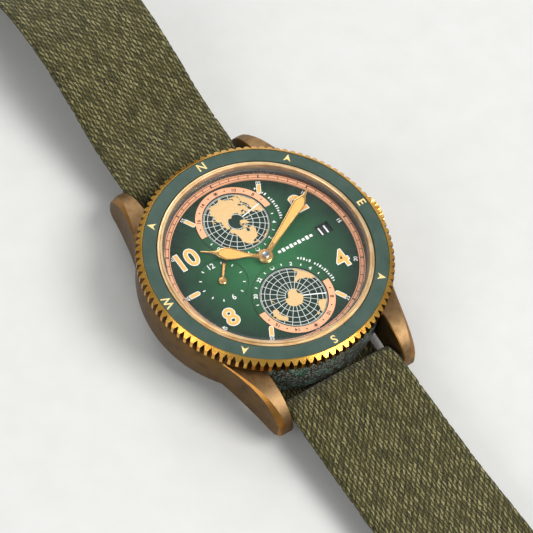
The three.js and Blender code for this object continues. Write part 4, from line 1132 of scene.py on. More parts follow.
# ---------------------------------------------------------------- dial
@dataclass
class Dial:
    """The dial plate with its printing, the applied markers and the minute track."""

    finishes: Finishes
    globe_y: float = 8.25
    ring_in: float = 5.6
    ring_out: float = 6.75
    zone_radius: float = 4.25
    zone_depth: float = 0.15
    window_x: float = 11.7
    numeral_r: float = 12.5
    bar_r: float = 13.55
    track_word_r: float = 14.82

    def build(self) -> None:
        """Makes the plate and everything on it."""
        self.top = Extent.of("dial").high.z
        self.plate()
        self.track()
        self.indices()
        self.numerals()
        self.zone_print()
        self.hour_rings()
        self.date()
        self.fine_print()

    def plate(self) -> None:
        """Cuts the plate with its openings, and sinks the floor of the small dial."""
        cad = Extent.of("dial")
        half_w, half_h = 1.3, 1.05
        window = [
            (self.window_x - half_w, -half_h),
            (self.window_x + half_w, -half_h),
            (self.window_x + half_w, half_h),
            (self.window_x - half_w, half_h),
        ]
        body = plate(
            [
                circle(cad.size.x / 2, points=180),
                circle(self.ring_in, (0, self.globe_y)),
                circle(self.ring_in, (0, -self.globe_y)),
                circle(self.zone_radius, (-self.globe_y, 0)),
                circle(0.95),
                window,
            ],
            cad.low.z,
            self.top,
        )
        floor = plate(
            [circle(self.zone_radius + 0.001, (-self.globe_y, 0)), circle(0.45, (-self.globe_y, 0), 24)],
            cad.low.z,
            self.top - self.zone_depth,
        )
        settle(joined([body, floor]), "dial_plate", self.finishes.dial, "case", ["dial"], 20)

    def track(self) -> None:
        """Turns the copper minute ring and prints its railway and its numerals."""
        cad = Extent.of("minute_track_ring")
        outer, low, top = cad.size.x / 2, cad.low.z, cad.high.z
        inner = outer - 0.95
        ring = turned(
            [(inner, low), (outer, low), (outer, top), (inner + 0.06, top), (inner, top - 0.06)], facets=320
        )
        settle(ring, "copper_minute_ring", self.finishes.copper, "case", ["minute_track_ring"], 20)
        rails = []
        for radius in (inner + 0.14, inner + 0.68):
            rails += [circle(radius, points=180), circle(radius + 0.09, points=180)]
        strokes = []
        for minute in range(60):
            width = 0.24 if minute % 5 == 0 else 0.12
            strokes.append(bar(inner + 0.212, inner + 0.678, width, 6 * minute))
        print_top = top + 0.008
        marks = joined([plate(rails, top - 0.01, print_top), plate(strokes, top - 0.01, print_top)])
        settle(marks, "minute_railway", self.finishes.dark, "case")
        words = []
        low, high = self.top - 0.01, self.top + 0.01
        for five in range(5, 60, 5):
            degrees = 6 * five
            upright = degrees - 180 if 90 < degrees < 270 else degrees
            place = clock(self.track_word_r, degrees)
            words.append(lettering(f"{five:02d}", 0.62, place, low, high, upright, 0.01))
        settle(joined(words), "minute_numerals", self.finishes.white, "case")

    def indices(self) -> None:
        """Applies the bars at the odd hours: a white frame round a beige filling."""
        frames, fills = [], []
        for degrees in (30, 150, 210, 270, 330):
            tall, wide = 1.9, 0.78
            shape = self.capsule(tall, wide)
            small = self.capsule(tall - 0.22, wide - 0.22)
            place = clock(self.bar_r, degrees)
            frames += [turned_outline(shape, degrees, place), turned_outline(small, degrees, place)]
            fills.append(turned_outline(small, degrees, place))
        top = self.top + 0.16
        settle(plate(frames, self.top, top), "hour_bar_frames", self.finishes.white, "case")
        lume = plate(fills, self.top, top - 0.03)
        settle(lume, "hour_bar_lume", self.finishes.lume, "case")

    @staticmethod
    def capsule(tall: float, wide: float) -> list[Point]:
        """A bar with a square outer end and a rounded inner one."""
        half = wide / 2
        arch = [
            (half * math.cos(math.radians(a)), -tall / 2 + half + half * math.sin(math.radians(a)))
            for a in range(180, 361, 20)
        ]
        return arch + [(half, tall / 2), (-half, tall / 2)]

    def numerals(self) -> None:
        """Applies the large even numerals: a white body under a slimmer beige one."""
        places = {"2": 60, "4": 120, "8": 240, "10": 300}
        frames, fills = [], []
        for word, degrees in places.items():
            place = clock(self.numeral_r, degrees)
            frames.append(lettering(word, 3.1, place, self.top, self.top + 0.1, 0, 0.2))
            fills.append(lettering(word, 3.1, place, self.top, self.top + 0.14, 0, 0.06))
        settle(joined(frames), "hour_numeral_frames", self.finishes.white, "case")
        settle(joined(fills), "hour_numeral_lume", self.finishes.lume, "case")

    def zone_print(self) -> None:
        """Prints the small twelve-hour dial."""
        centre = (-self.globe_y, 0.0)
        floor = self.top - self.zone_depth
        strokes = []
        for hour in range(12):
            if hour not in (0, 6):
                strokes.append(bar(3.3, 3.75, 0.17, 30 * hour, centre))
        marks = joined(
            [
                plate(strokes, floor - 0.01, floor + 0.01),
                lettering("12", 0.95, (centre[0], 3.3), floor - 0.01, floor + 0.01, 0, 0.01),
                lettering("6", 0.95, (centre[0], -3.3), floor - 0.01, floor + 0.01, 0, 0.01),
            ]
        )
        settle(marks, "small_dial_print", self.finishes.white, "case")

    def hour_rings(self) -> None:
        """Makes the two day rings: a copper half and a green half, each with its marks."""
        for name, sign, first in (("north", 1, 270.0), ("south", -1, 90.0)):
            centre = (0.0, sign * self.globe_y)
            top = Extent.of(f"{name}_hour_ring").high.z
            warm, cool = (
                plate([sector(self.ring_in, self.ring_out, start, start + 180, centre)], self.top, top)
                for start in (first, first + 180)
            )
            settle(warm, f"{name}_day_half", self.finishes.copper, "case", [f"{name}_hour_ring"])
            settle(cool, f"{name}_night_half", self.finishes.dial, "case")
            self.hour_marks(name, centre, first, top)

    def hour_marks(self, name: str, centre: Point, first: float, top: float) -> None:
        """Prints the numerals and dots of one day ring, and two thin dark rings round its edges as painted
        shadow.

        Args:
            name: north or south.
            centre: The ring's centre.
            first: The clock angle where the copper half starts.
            top: The ring's face.
        """
        direction = -1 if name == "north" else 1
        start = 180 if name == "north" else 0
        middle = (self.ring_in + self.ring_out) / 2
        low, high = top - 0.01, top + 0.01
        dark, white = [], []
        for hour in range(24):
            degrees = (start + direction * 15 * hour) % 360
            into = dark if (degrees - first) % 360 <= 180 else white
            place = clock(middle, degrees, centre)
            if hour == 0:
                moon = [clock(0.36, a, place) for a in range(20, 341, 20)]
                hollow = [clock(0.3, a, clock(0.14, 0, place)) for a in range(320, 39, -20)]
                into.append(plate([moon + hollow], low, high))
            elif hour == 12:
                into.append(plate([circle(0.24, place, 16)], low, high))
                into.append(plate([circle(0.38, place, 24), circle(0.33, place, 24)], low, high))
            elif hour % 2 and into is dark:
                into.append(plate([circle(0.13, place, 12)], low, high))
            elif hour % 2:
                into.append(plate([bar(middle - 0.2, middle + 0.2, 0.17, degrees, centre)], low, high))
            elif hour not in (6, 18):
                into.append(lettering(str(hour), 0.62, place, low, high, degrees, 0.02))
        # Painted shadow: a thin dark ring just outside the raised day ring, and another round the globe's
        # opening where the gap shades it.
        edge = plate([circle(self.ring_out + 0.06, centre), circle(self.ring_out, centre)], low, high)
        globe_gap_shadow = plate([circle(self.ring_in + 0.05, centre), circle(self.ring_in - 0.05, centre)], low, high)
        dark += [edge, globe_gap_shadow]
        settle(joined(dark), f"{name}_day_marks", self.finishes.dark, "case")
        settle(joined(white), f"{name}_night_marks", self.finishes.white, "case")

    def date(self) -> None:
        """Prints the disc's numbers, with the eleventh upright in the window."""
        disc = Extent.of("date_disc").high.z
        today = 11
        numbers = []
        for day in range(1, 32):
            turn = 90 + (day - today) * 360 / 31
            place = clock(self.window_x, turn)
            numbers.append(lettering(str(day), 1.45, place, disc - 0.01, disc + 0.01, turn - 90, 0.03))
        settle(joined(numbers), "date_numbers", self.finishes.white, "date")

    def fine_print(self) -> None:
        """Prints the plain dashes beside the globes and across the right of the dial."""
        dashes = []
        for centre, first in (((0.0, self.globe_y), 58.0), ((0.0, -self.globe_y), 40.0)):
            for i in range(16):
                if i == 5:
                    continue
                long = 0.5 if i % 3 else 0.34
                dashes.append(bar(7.25, 7.25 + long, 0.16 if i % 2 else 0.26, first + 3.7 * i, centre))
        for i in range(9):
            left = 2.6 + 0.78 * i
            right = left + 0.52
            tall = 0.4 if i % 2 else 0.28
            dashes.append([(left, -tall), (right, -tall), (right, tall - 0.1), (left, tall - 0.1)])
        marks = plate(dashes, self.top - 0.01, self.top + 0.01)
        settle(marks, "fine_dial_dashes", self.finishes.white, "case")


# ---------------------------------------------------------------- globes
NORTH_LANDS = (
    # Rough longitudes and latitudes round each land.
    ((-168, 66), (-157, 71), (-140, 70), (-125, 70), (-108, 68), (-95, 69), (-85, 68), (-82, 63),
     (-94, 59), (-88, 56), (-80, 52), (-78, 58), (-70, 61), (-64, 58), (-56, 52), (-66, 48), (-60, 46),
     (-70, 43), (-75, 37), (-81, 31), (-80, 26), (-83, 29), (-90, 30), (-97, 27), (-97, 20), (-90, 21),
     (-88, 16), (-83, 10), (-78, 8), (-86, 12), (-95, 16), (-105, 20), (-110, 25), (-115, 30),
     (-122, 36), (-124, 46), (-132, 55), (-145, 60), (-158, 57), (-165, 61)),
    ((-72, 78), (-60, 82), (-35, 83), (-20, 80), (-22, 72), (-40, 65), (-45, 60), (-52, 66), (-56, 74)),
    ((-85, 68), (-78, 73), (-90, 77), (-80, 82), (-65, 82), (-78, 76), (-66, 68), (-62, 65), (-74, 64)),
    ((-9, 38), (-9, 43), (-2, 43), (-1, 46), (-4, 48), (2, 51), (8, 54), (10, 57), (12, 54), (20, 54),
     (24, 58), (28, 60), (22, 60), (21, 63), (25, 65), (20, 64), (17, 61), (16, 57), (12, 56), (11, 59),
     (5, 59), (6, 62), (14, 67), (25, 71), (40, 67), (55, 69), (68, 69), (70, 73), (80, 73), (100, 77),
     (112, 74), (130, 71), (145, 72), (160, 70), (180, 69), (190, 66), (178, 62), (165, 60), (162, 55),
     (157, 51), (155, 57), (160, 61), (150, 59), (140, 57), (135, 54), (141, 52), (138, 46), (130, 42),
     (129, 36), (126, 35), (125, 39), (120, 40), (122, 37), (119, 35), (122, 31), (120, 26), (112, 21),
     (108, 21), (106, 18), (109, 12), (105, 9), (100, 14), (99, 9), (103, 2), (98, 9), (97, 16),
     (94, 17), (90, 22), (85, 20), (80, 14), (80, 10), (77, 8), (74, 14), (72, 20), (68, 23), (57, 26),
     (50, 30), (48, 29), (52, 24), (57, 24), (59, 22), (55, 17), (45, 13), (42, 16), (39, 21), (35, 28),
     (34, 31), (36, 36), (27, 37), (27, 40), (38, 41), (41, 42), (38, 45), (33, 46), (28, 44), (28, 41),
     (23, 40), (23, 37), (20, 39), (19, 42), (13, 45), (18, 40), (16, 38), (12, 42), (8, 44), (3, 43),
     (0, 39), (-5, 36)),
    ((-6, 35), (10, 37), (11, 33), (20, 31), (32, 31), (35, 27), (38, 18), (43, 11), (51, 11), (45, 2),
     (43, 0), (9, 0), (9, 4), (4, 6), (-8, 4), (-14, 9), (-17, 15), (-16, 21), (-10, 30)),
    ((-79, 0), (-77, 8), (-72, 12), (-62, 10), (-52, 5), (-50, 0)),
    ((-5, 50), (1, 51), (0, 53), (-2, 57), (-5, 58), (-5, 54)),
    ((-24, 65), (-14, 66), (-14, 64), (-22, 63)),
    ((130, 32), (136, 34), (141, 36), (142, 40), (145, 43), (142, 45), (140, 41), (137, 37), (132, 35)),
)
SOUTH_LANDS = (
    ((-80, 0), (-81, -6), (-76, -14), (-70, -18), (-71, -30), (-74, -40), (-75, -50), (-70, -55),
     (-65, -55), (-68, -50), (-62, -40), (-57, -37), (-48, -27), (-40, -22), (-39, -13), (-35, -7),
     (-44, -2), (-50, 0)),
    ((9, 0), (13, -8), (12, -17), (15, -27), (18, -34), (25, -34), (32, -28), (35, -22), (40, -15),
     (39, -6), (43, 0)),
    ((44, -16), (49, -12), (50, -16), (47, -25), (44, -24)),
    ((114, -22), (122, -18), (131, -12), (137, -12), (136, -15), (140, -17), (142, -11), (146, -19),
     (153, -26), (150, -37), (145, -39), (138, -33), (130, -32), (116, -35), (114, -27)),
    ((173, -35), (178, -38), (175, -41), (168, -46), (167, -45), (172, -41)),
    ((131, -1), (141, -3), (150, -10), (143, -9), (138, -8)),
    ((109, 0), (118, 0), (116, -4), (110, -3)),
    ((-60, -63), (-57, -64), (-65, -72), (-80, -73), (-100, -72), (-130, -74), (-150, -77), (-165, -78),
     (170, -78), (170, -71), (150, -68), (130, -66), (110, -66), (90, -66), (70, -68), (55, -66),
     (40, -69), (20, -70), (0, -70), (-20, -74), (-35, -78), (-60, -75), (-60, -70)),
)


@dataclass
class Globe:
    """One turning half globe, seen from over its pole."""

    finishes: Finishes
    name: str
    lands: Sequence[Outline]
    pole: int
    facing: float

    def build(self) -> None:
        """Makes the dome, lays out its lands and adds the reference meridian."""
        cad = Extent.of(f"{self.name}_globe")
        centre = (cad.middle.x, cad.middle.y)
        radius, top = cad.size.x / 2, cad.high.z
        rim, rise = top - 0.25, 0.25
        steps = 44
        profile = [(radius, rim - 0.3), (radius, rim)]
        for i in range(1, steps):
            share = 1 - i / steps
            profile.append((radius * share, rim + rise * (1 - share * share)))
        profile.append((0.02, top))
        dome = turned(profile, Ends.CAPS, 180)
        self.mark_lands(dome, radius)
        dome.data.transform(Matrix.Translation((*centre, 0)))
        cover = GlobePrint(f"{self.name}_globe_print", centre, radius, 90 - self.facing).make()
        body = f"{self.name}_globe"
        settle(dome, f"{self.name}_half_globe", cover, body, [body], 30)
        line = plate([bar(radius * 0.27, radius - 0.05, 0.2, self.facing, centre)], rim - 0.05, top - 0.02)
        self.drape(line, centre, radius, rim, rise)
        settle(line, f"{self.name}_reference_meridian", self.finishes.white, body)

    @staticmethod
    def drape(piece: Piece, centre: Point, radius: float, rim: float, rise: float) -> None:
        """Subdivides a flat strip and lays it on the dome."""
        edit(piece)
        bpy.ops.mesh.subdivide(number_cuts=6)
        bpy.ops.object.mode_set(mode="OBJECT")
        for vertex in piece.data.vertices:
            share = math.hypot(vertex.co.x - centre[0], vertex.co.y - centre[1]) / radius
            surface = rim + rise * (1 - share * share)
            vertex.co.z = surface + (0.02 if vertex.co.z > rim + rise / 2 else -0.02)

    def mark_lands(self, dome: Piece, radius: float) -> None:
        """Writes each point's distance inside the nearest land to the dome's land attribute."""
        points = np.array([v.co for v in dome.data.vertices])[:, :2]
        inside_by = np.full(len(points), -1.0)
        for land in self.lands:
            edge = np.array([self.mapped(lon, lat, radius) for lon, lat in land])
            inside_by = np.maximum(inside_by, self.depth_inside(points, edge))
        attribute = dome.data.attributes.new("land", "FLOAT", "POINT")
        attribute.data.foreach_set("value", inside_by.astype(np.float32))

    def mapped(self, longitude: float, latitude: float, radius: float) -> Point:
        """The place of a longitude and latitude on the disc seen from over the pole."""
        share = (90 - abs(latitude)) / 90
        distance = radius * (share + math.cos(math.radians(latitude))) / 2
        return clock(distance, self.facing - self.pole * longitude)

    @staticmethod
    def depth_inside(points: np.ndarray, edge: np.ndarray) -> np.ndarray:
        """How far points lie inside a closed edge, negative outside it."""
        starts, ends = edge, np.roll(edge, -1, 0)
        along = ends - starts
        away = points[:, None, :] - starts[None]
        share = np.clip((away * along).sum(2) / np.maximum((along**2).sum(1), 1e-9), 0, 1)
        distance = np.linalg.norm(away - share[:, :, None] * along, axis=2).min(1)
        y, x = points[:, 1][:, None], points[:, 0][:, None]
        rises = (starts[:, 1] > y) != (ends[:, 1] > y)
        slope = np.where(np.abs(along[:, 1]) < 1e-9, 1e-9, along[:, 1])
        crossing = starts[:, 0] + (y - starts[:, 1]) * along[:, 0] / slope
        inside = (rises & (x < crossing)).sum(1) % 2 == 1
        return np.where(inside, distance, -distance)


# ---------------------------------------------------------------- hands
@dataclass
class Hands:
    """The hour, minute and second-zone hands."""

    finishes: Finishes
    thick: float = 0.16
    hour_angle: float = 305.2
    minute_angle: float = 62.1
    zone_angle: float = 38.0
    hub: float = 1.22
    zone_hub: float = 0.66

    def build(self) -> None:
        """Makes the three hands and the centre cap."""
        hour = [(0.9, 0.4), (2.2, 0.34), (3.2, 0.45), (4.6, 0.9), (6.2, 1.2), (7.2, 0.88), (8.0, 0.36)]
        hour += [(9.0, 0.16), (10.5, 0.08)]
        hour_fill = [(2.6, 0.1), (3.4, 0.28), (4.7, 0.68), (6.1, 0.95), (6.9, 0.66), (7.5, 0.26)]
        self.hand("hour", hour, hour_fill, self.hour_angle, self.hub)
        minute = [(0.9, 0.42), (4.0, 0.48), (8.5, 0.74), (12.0, 1.0), (13.0, 0.66), (13.8, 0.24)]
        minute += [(15.5, 0.07)]
        minute_fill = [(2.8, 0.2), (8.5, 0.5), (11.8, 0.74), (12.6, 0.46), (13.1, 0.2)]
        self.hand("minute", minute, minute_fill, self.minute_angle, self.hub)
        zone = [(0.5, 0.2), (2.2, 0.2), (3.3, 0.22), (3.8, 0.05)]
        zone_fill = [(1.0, 0.08), (2.3, 0.1), (3.1, 0.1)]
        self.hand("second_zone", zone, zone_fill, self.zone_angle, self.zone_hub, (-8.25, 0))
        top = Extent.of("centre_wheel").high.z
        profile = [(0.56, top - 0.3), (0.56, top + 0.01), (0.46, top + 0.06), (0.05, top + 0.07)]
        cap = turned(profile, Ends.CAPS, 48)
        settle(cap, "centre_pin", self.finishes.steel_turned, "minute")

    def hand(
        self, name: str, stations: Outline, fill: Outline, angle: float, hub: float, centre: Point = (0, 0)
    ) -> None:
        """Makes one hand: a gilt frame with a hub, and its beige filling.

        Args:
            name: The body it rides on.
            stations: (distance, half width) along the frame.
            fill: The same for the filling.
            angle: Its clock angle.
            hub: The hub's radius.
            centre: Its axis on the dial.
        """
        node = f"{name}_hand"
        high = Extent.of(node).high.z
        low = high - self.thick
        shape = turned_outline(blade(stations), angle, centre)
        opening = turned_outline(blade(fill), angle, centre)
        body = plate([shape, opening], low, high, 0.03)
        profile = [(hub, low - 0.02), (hub, high), (hub - 0.1, high + 0.07), (hub * 0.55, high + 0.09)]
        disc = turned(profile, Ends.CAPS, 72)
        disc.data.transform(Matrix.Translation((*centre, 0)))
        settle(joined([body, disc]), f"{node}_frame", self.finishes.gilt, name, [node], 25)
        lume = plate([opening], low + 0.03, high - 0.03)
        settle(lume, f"{node}_lume", self.finishes.lume, name)


# ---------------------------------------------------------------- strap
def through(places: Sequence[Point], steps: int) -> list[Point]:
    """Points on a smooth curve through places, evenly spread over its stretches."""
    last = len(places) - 1
    points = []
    for k in range(steps + 1):
        at = last * k / steps
        i = min(int(at), last - 1)
        t = at - i
        p0, p1, p2, p3 = places[max(i - 1, 0)], places[i], places[i + 1], places[min(i + 2, last)]
        point = []
        for a, b, c, d in zip(p0, p1, p2, p3):
            v0, v1 = (c - a) / 2, (d - b) / 2
            cube, square = 2 * b - 2 * c + v0 + v1, -3 * b + 3 * c - 2 * v0 - v1
            point.append(cube * t**3 + square * t**2 + v0 * t + b)
        points.append((point[0], point[1]))
    return points


def bend(y: float, z: float, radius: float, start: float, end: float, steps: int) -> list[Point]:
    """Points on an arc in the side view, between two angles in degrees."""
    return [
        (
            y + radius * math.cos(math.radians(start + (end - start) * i / steps)),
            z + radius * math.sin(math.radians(start + (end - start) * i / steps)),
        )
        for i in range(steps + 1)
    ]


@dataclass
class Strap:
    """The one-piece woven band: it runs under the case and over both spring bars."""

    finishes: Finishes
    width: float = 21.5
    thick: float = 1.2
    bar_y: float = 22.7
    bar_z: float = 4.1
    loop: float = 1.45
    under_bend: float = 2.25
    step: float = 0.42

    def build(self) -> None:
        """Weaves both halves and the keepers."""
        tail = [(25, 5.85), (36, 5.1), (47, 4.6), (59, 4.9), (71, 4.1), (84, 1.9), (96, 0.75), (106, 0.6)]
        tip = [(119, 0.6), (132, 0.6)]
        self.half("strap_band_tail", tail, tip, -1, "tail", ["strap_tail", "strap_centre"])
        arch = [(25, 6.2), (34, 7.35), (44, 10.3), (53, 12.0), (63, 11.8), (71, 8.9), (78, 5.0)]
        arch += [(83.5, 2.5), (87, 2.1)]
        back = [(91, 2.1), (95.5, 2.7), (99.5, 2.95), (103, 3.6)] + bend(103, 2.1, 1.5, 60, -90, 10)
        back += [(99.5, 1.2), (95.3, 1.45)]
        self.half("strap_band_buckle", arch, back, 1, "buckle_end", ["strap_buckle_end"])
        for name, body in (("fixed_keeper", "buckle_end"), ("sliding_keeper", "sliding_keeper")):
            self.keeper(name, body)

    def path(self, places: Sequence[Point], rest: Sequence[Point]) -> list[Point]:
        """The band's middle line in the side view, from under the case to its end, in even steps."""
        rise = self.bar_y - self.loop
        low = self.thick / 2
        line = [(0.0, low)]
        line += bend(rise - self.under_bend, low + self.under_bend, self.under_bend, 270, 360, 10)
        line += bend(self.bar_y, self.bar_z, self.loop, 180, 94, 12)
        line += through([(self.bar_y, self.bar_z + self.loop), *places], 90)
        line += list(rest)
        points = np.array(line, float)
        gaps = np.linalg.norm(np.diff(points, axis=0), axis=1)
        keep = np.concatenate([[True], gaps > 1e-6])
        points = points[keep]
        lengths = np.concatenate([[0], np.cumsum(np.linalg.norm(np.diff(points, axis=0), axis=1))])
        count = int(lengths[-1] / self.step)
        wanted = np.linspace(0, lengths[-1], count + 1)
        across, up = (np.interp(wanted, lengths, points[:, axis]) for axis in (0, 1))
        return [(float(y), float(z)) for y, z in zip(across, up)]

    def section(self) -> list[Point]:
        """The band's section as (across, height), with rounded sides, closed on its first point."""
        half_w, half_t = self.width / 2, self.thick / 2
        across = 42
        top = [(-half_w + 0.45 + (self.width - 0.9) * i / across, half_t) for i in range(across + 1)]
        right = [
            (half_w - 0.45 + 0.45 * math.sin(math.radians(a)), half_t * math.cos(math.radians(a)))
            for a in (30, 60, 90, 120, 150)
        ]
        bottom = [(x, -half_t) for x, _ in reversed(top)]
        left = [(-x, -z) for x, z in right]
        return top + right + bottom + left + top[:1]

    def half(
        self, name: str, places: Sequence[Point], rest: Sequence[Point], end: int, body: str, nodes: list[str]
    ) -> None:
        """Weaves one half of the band.

        Args:
            name: The piece's name.
            places: The given places of its middle line after the bar.
            rest: The points that follow them to its end.
            end: 1 towards 12 o'clock, -1 towards 6.
            body: Which half it is: tail gives the tapered tip and the holes, any other the slot.
            nodes: The CAD nodes it replaces.
        """
        line = self.path(places, rest)
        section = self.section()
        rng = np.random.default_rng(12)
        rows, grid_uv = [], []
        travelled = 0.0
        for i, (y, z) in enumerate(line):
            y0, z0 = line[max(i - 1, 0)]
            y1, z1 = line[min(i + 1, len(line) - 1)]
            length = math.hypot(y1 - y0, z1 - z0)
            ty, tz = (y1 - y0) / length, (z1 - z0) / length
            squeeze = 1.0
            if body == "tail" and y > 124.5:
                squeeze = math.sqrt(max(0.0, 1 - ((y - 124.5) / 7.52) ** 2)) * 0.97 + 0.03
            row, uv_row = [], []
            side_wave = 0.09 * rng.standard_normal(2)
            for k, (x, h) in enumerate(section):
                lump = 0.0 if k in (0, len(section) - 1) else 0.02 * rng.standard_normal()
                edge = max(0.0, abs(x) - self.width / 2 + 0.5) / 0.5
                wave = min(side_wave[0 if x > 0 else 1], 0.0) * edge
                across = (x - math.copysign(abs(wave), x)) * squeeze
                height = h * (1 - 0.08 * edge) + lump
                row.append(Vector((across, end * (y - height * tz), z + height * ty)))
                uv_row.append((x + (0.0 if h > 0 else 37.0), travelled))
            rows.append(row)
            grid_uv.append(uv_row)
            if i + 1 < len(line):
                travelled += math.hypot(line[i + 1][0] - y, line[i + 1][1] - z)
        piece = rows_surface(rows, grid_uv)
        if body == "tail":
            self.punch(piece, [(0.0, -(132 - 13.6 - 6.5 * i)) for i in range(7)])
        else:
            self.slit(piece)
        piece.name = name
        settle(piece, name, self.finishes.webbing, "", nodes, 60)
        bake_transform(piece)

    @staticmethod
    def punch(piece: Piece, places: Sequence[Point]) -> None:
        """Cuts the round holes of the tail."""
        pins = [rod(1.0, 6, Vector((x, y, 0.6)), 28) for x, y in places]
        worked(piece, joined(pins), Cut.AWAY)

    @staticmethod
    def slit(piece: Piece) -> None:
        """Cuts the slot for the tongue through the folded end."""
        deselect()
        bpy.ops.mesh.primitive_cube_add(size=1, location=(0, 102.8, 2.1), scale=(3.0, 8.4, 8.0))
        tool = bpy.context.active_object
        bpy.ops.object.transform_apply(location=True, rotation=True, scale=True)
        worked(piece, tool, Cut.AWAY)

    def keeper(self, name: str, body: str) -> None:
        """Makes a woven keeper loop with rounded corners."""
        cad = Extent.of(name)
        low, high = cad.low, cad.high
        loop = []
        for grow in (0.0, 0.7):
            left, right = low.x + grow, high.x - grow
            bottom, top = low.z + grow, high.z - grow
            corner = 1.0 - grow
            outline = []
            near, far = (left + corner, right - corner), (bottom + corner, top - corner)
            for first, (i, j) in zip((0, 90, 180, 270), ((1, 1), (0, 1), (0, 0), (1, 0))):
                outline += bend(near[i], far[j], corner, first, first + 90, 5)
            loop.append(outline)
        piece = plate(loop, 0.0, cad.size.y, 0.18)
        piece.data.transform(Matrix.Translation((0, high.y, 0)) @ Matrix.Rotation(math.pi / 2, 4, "X"))
        layer = piece.data.uv_layers.new(name="UVMap")
        for face in piece.data.polygons:
            for corner_index in face.loop_indices:
                place = piece.data.vertices[piece.data.loops[corner_index].vertex_index].co
                layer.data[corner_index].uv = (place.y, place.x + place.z)
        settle(piece, f"woven_{name}", self.finishes.webbing, body, [name], 50)


# ---------------------------------------------------------------- buckle
@dataclass
class Buckle:
    """The bronze pin buckle."""

    finishes: Finishes

    def build(self) -> None:
        """Makes the frame and its tongue with rounded edges."""
        cad = Extent.of("buckle_frame")
        left, right = cad.low.x, cad.high.x
        back, front = cad.low.y, cad.high.y
        wide, rail, corner = 2.3, 2.6, 2.8
        outline = [(left, back), (left + wide, back)]
        outline += bend(left + wide + 0.9, front - rail - 0.9, 0.9, 180, 90, 5)
        outline += bend(right - wide - 0.9, front - rail - 0.9, 0.9, 90, 0, 5)
        outline += [(right - wide, back), (right, back)]
        outline += bend(right - corner, front - corner, corner, 0, 90, 8)
        outline += bend(left + corner, front - corner, corner, 90, 180, 8)
        piece = plate([outline], cad.low.z, cad.high.z, 0.55)
        settle(piece, "buckle_bow", self.finishes.polish, "buckle", ["buckle_frame"], 35)
        tongue = Extent.of("buckle_tongue")
        y0, y1 = 103.0, tongue.high.y
        half = 1.1
        side = [(y0 - 1.2, 2.6), (y0, 3.3), (y0 + 1.6, 3.05), (y1 - 4.6, 2.96), (y1 - 3.4, 3.25)]
        side += [(y1 - 0.4, 3.24), (y1, 3.5), (y1 - 0.4, 3.82), (y1 - 3.2, 3.86), (y1 - 5.0, 3.6)]
        side += [(y0 + 1.6, 3.75), (y0, 3.9), (y0 - 1.7, 3.0)]
        arm = plate([side], -half, half, 0.16)
        turn = Matrix(((0, 0, 1, 0), (1, 0, 0, 0), (0, 1, 0, 0), (0, 0, 0, 1)))
        arm.data.transform(turn)
        eye = turned([(0.92, -half), (1.62, -half), (1.62, half), (0.92, half)], facets=40)
        eye.data.transform(Matrix.Translation((0, y0, 2.1)) @ Matrix.Rotation(math.pi / 2, 4, "Y"))
        pin = joined([clean(arm), eye])
        settle(pin, "buckle_pin", self.finishes.polish, "tongue", ["buckle_tongue"], 35)


# ---------------------------------------------------------------- movement
@dataclass
class Works:
    """The parts that keep their CAD shape: the back, the movement, the bars and the seals."""

    finishes: Finishes

    def build(self) -> None:
        """Dresses each CAD node with its own metal."""
        f = self.finishes
        steel = ["bezel_click_spring", "crown_stem", "spring_bar_12", "spring_bar_6", "train_bridge"]
        steel += ["balance_cock", "hairspring", "cannon_pinion", "escape_wheel", "pallet_fork", "buckle_bar"]
        brass = ["casing_ring", "mainplate", "centre_wheel", "hour_wheel", "second_zone_wheel", "barrel"]
        brass += ["third_wheel", "fourth_wheel", "balance_wheel"]
        dressed = dict.fromkeys(steel, f.steel) | dict.fromkeys(brass, f.brass)
        dressed |= dict.fromkeys(["case_back", "crown_tube", "rotor_bearing"], f.steel_turned)
        seals = ["case_back_gasket", "crystal_gasket", "bezel_gasket", "crown_gasket"]
        dressed |= dict.fromkeys(seals, f.rubber) | {"date_disc": f.black, "rotor": f.polish}
        for name, finish in dressed.items():
            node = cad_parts[name]
            node.data.materials.clear()
            node.data.materials.append(finish)
            log.info("%s dressed", name)


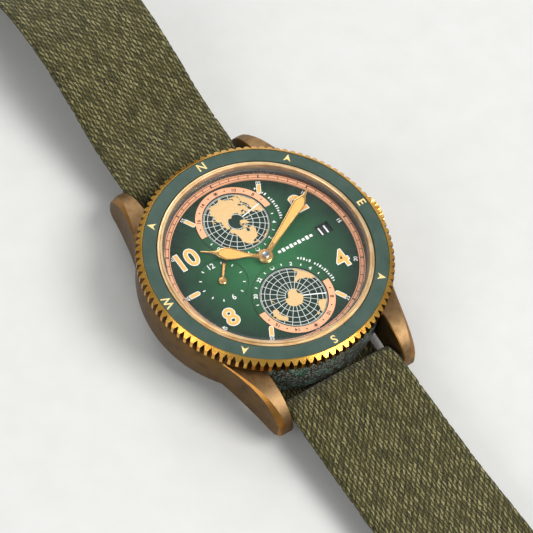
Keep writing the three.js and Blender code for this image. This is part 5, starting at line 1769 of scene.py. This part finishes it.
# ---------------------------------------------------------------- studio
@dataclass
class Studio:
    """The table, the soft lights and the camera."""

    finishes: Finishes
    azimuth: float = -134.57
    elevation: float = 57.09
    roll: float = 12.02
    lens: float = 158.4
    place: tuple[float, float, float] = (-144.5, -147.4, 327.9)

    def build(self) -> None:
        """Sets up the scene round the watch."""
        self.table()
        self.lights()
        self.camera()

    def table(self) -> None:
        """Lays a wide pale table under the strap."""
        deselect()
        bpy.ops.mesh.primitive_plane_add(size=6, location=(0, 0, -0.0003))
        table = bpy.context.active_object
        table.name = "table"
        table.data.materials.append(self.finishes.floor)

    def lights(self) -> None:
        """Hangs the soft lights and sets a dim even surround."""
        world = bpy.data.worlds.new("surround")
        world.use_nodes = True
        world.node_tree.nodes["Background"].inputs["Color"].default_value = (0.82, 0.87, 0.93, 1)
        world.node_tree.nodes["Background"].inputs["Strength"].default_value = 0.45
        bpy.context.scene.world = world
        bpy.context.scene.view_settings.view_transform = "Standard"
        for name, place, size, energy in (
            ("key", (0.35, -0.45, 0.75), 0.5, 9.0),
            ("fill", (-0.75, -0.1, 0.45), 0.5, 3.0),
            ("back", (0.2, 0.8, 0.6), 0.6, 4.0),
        ):
            lamp = bpy.data.lights.new(name, "AREA")
            lamp.size = size
            lamp.energy = energy
            holder = bpy.data.objects.new(name, lamp)
            holder.location = place
            holder.rotation_euler = (-Vector(place)).to_track_quat("-Z", "Y").to_euler()
            bpy.context.collection.objects.link(holder)

    def camera(self) -> None:
        """Places the camera, turned about its own line of sight."""
        azimuth, elevation, roll = (math.radians(a) for a in (self.azimuth, self.elevation, self.roll))
        level = math.cos(elevation)
        back = Vector((math.cos(azimuth) * level, math.sin(azimuth) * level, math.sin(elevation)))
        right = Vector((0, 0, 1)).cross(back).normalized()
        up = back.cross(right)
        rolled_right = math.cos(roll) * right + math.sin(roll) * up
        rolled_up = -math.sin(roll) * right + math.cos(roll) * up
        data = bpy.data.cameras.new("camera")
        data.lens = self.lens
        data.sensor_width = 36
        data.clip_start = 0.01
        camera = bpy.data.objects.new("camera", data)
        turn = Matrix((rolled_right, rolled_up, back)).transposed().to_4x4()
        camera.matrix_world = Matrix.Translation(Vector(self.place) * MM) @ turn
        bpy.context.collection.objects.link(camera)
        bpy.context.scene.camera = camera


def main() -> None:
    """Builds the watch, sub-assembly by sub-assembly, and its studio."""
    finishes = Finishes()
    Studio(finishes).build()
    Bezel(finishes).build()
    Case(finishes).build()
    Crystal(finishes).build()
    Crown(finishes).build()
    Dial(finishes).build()
    Globe(finishes, "north", NORTH_LANDS, 1, 77.0).build()
    Globe(finishes, "south", SOUTH_LANDS, -1, 112.0).build()
    Hands(finishes).build()
    Strap(finishes).build()
    Buckle(finishes).build()
    Works(finishes).build()


if __name__ == "__main__":
    main()
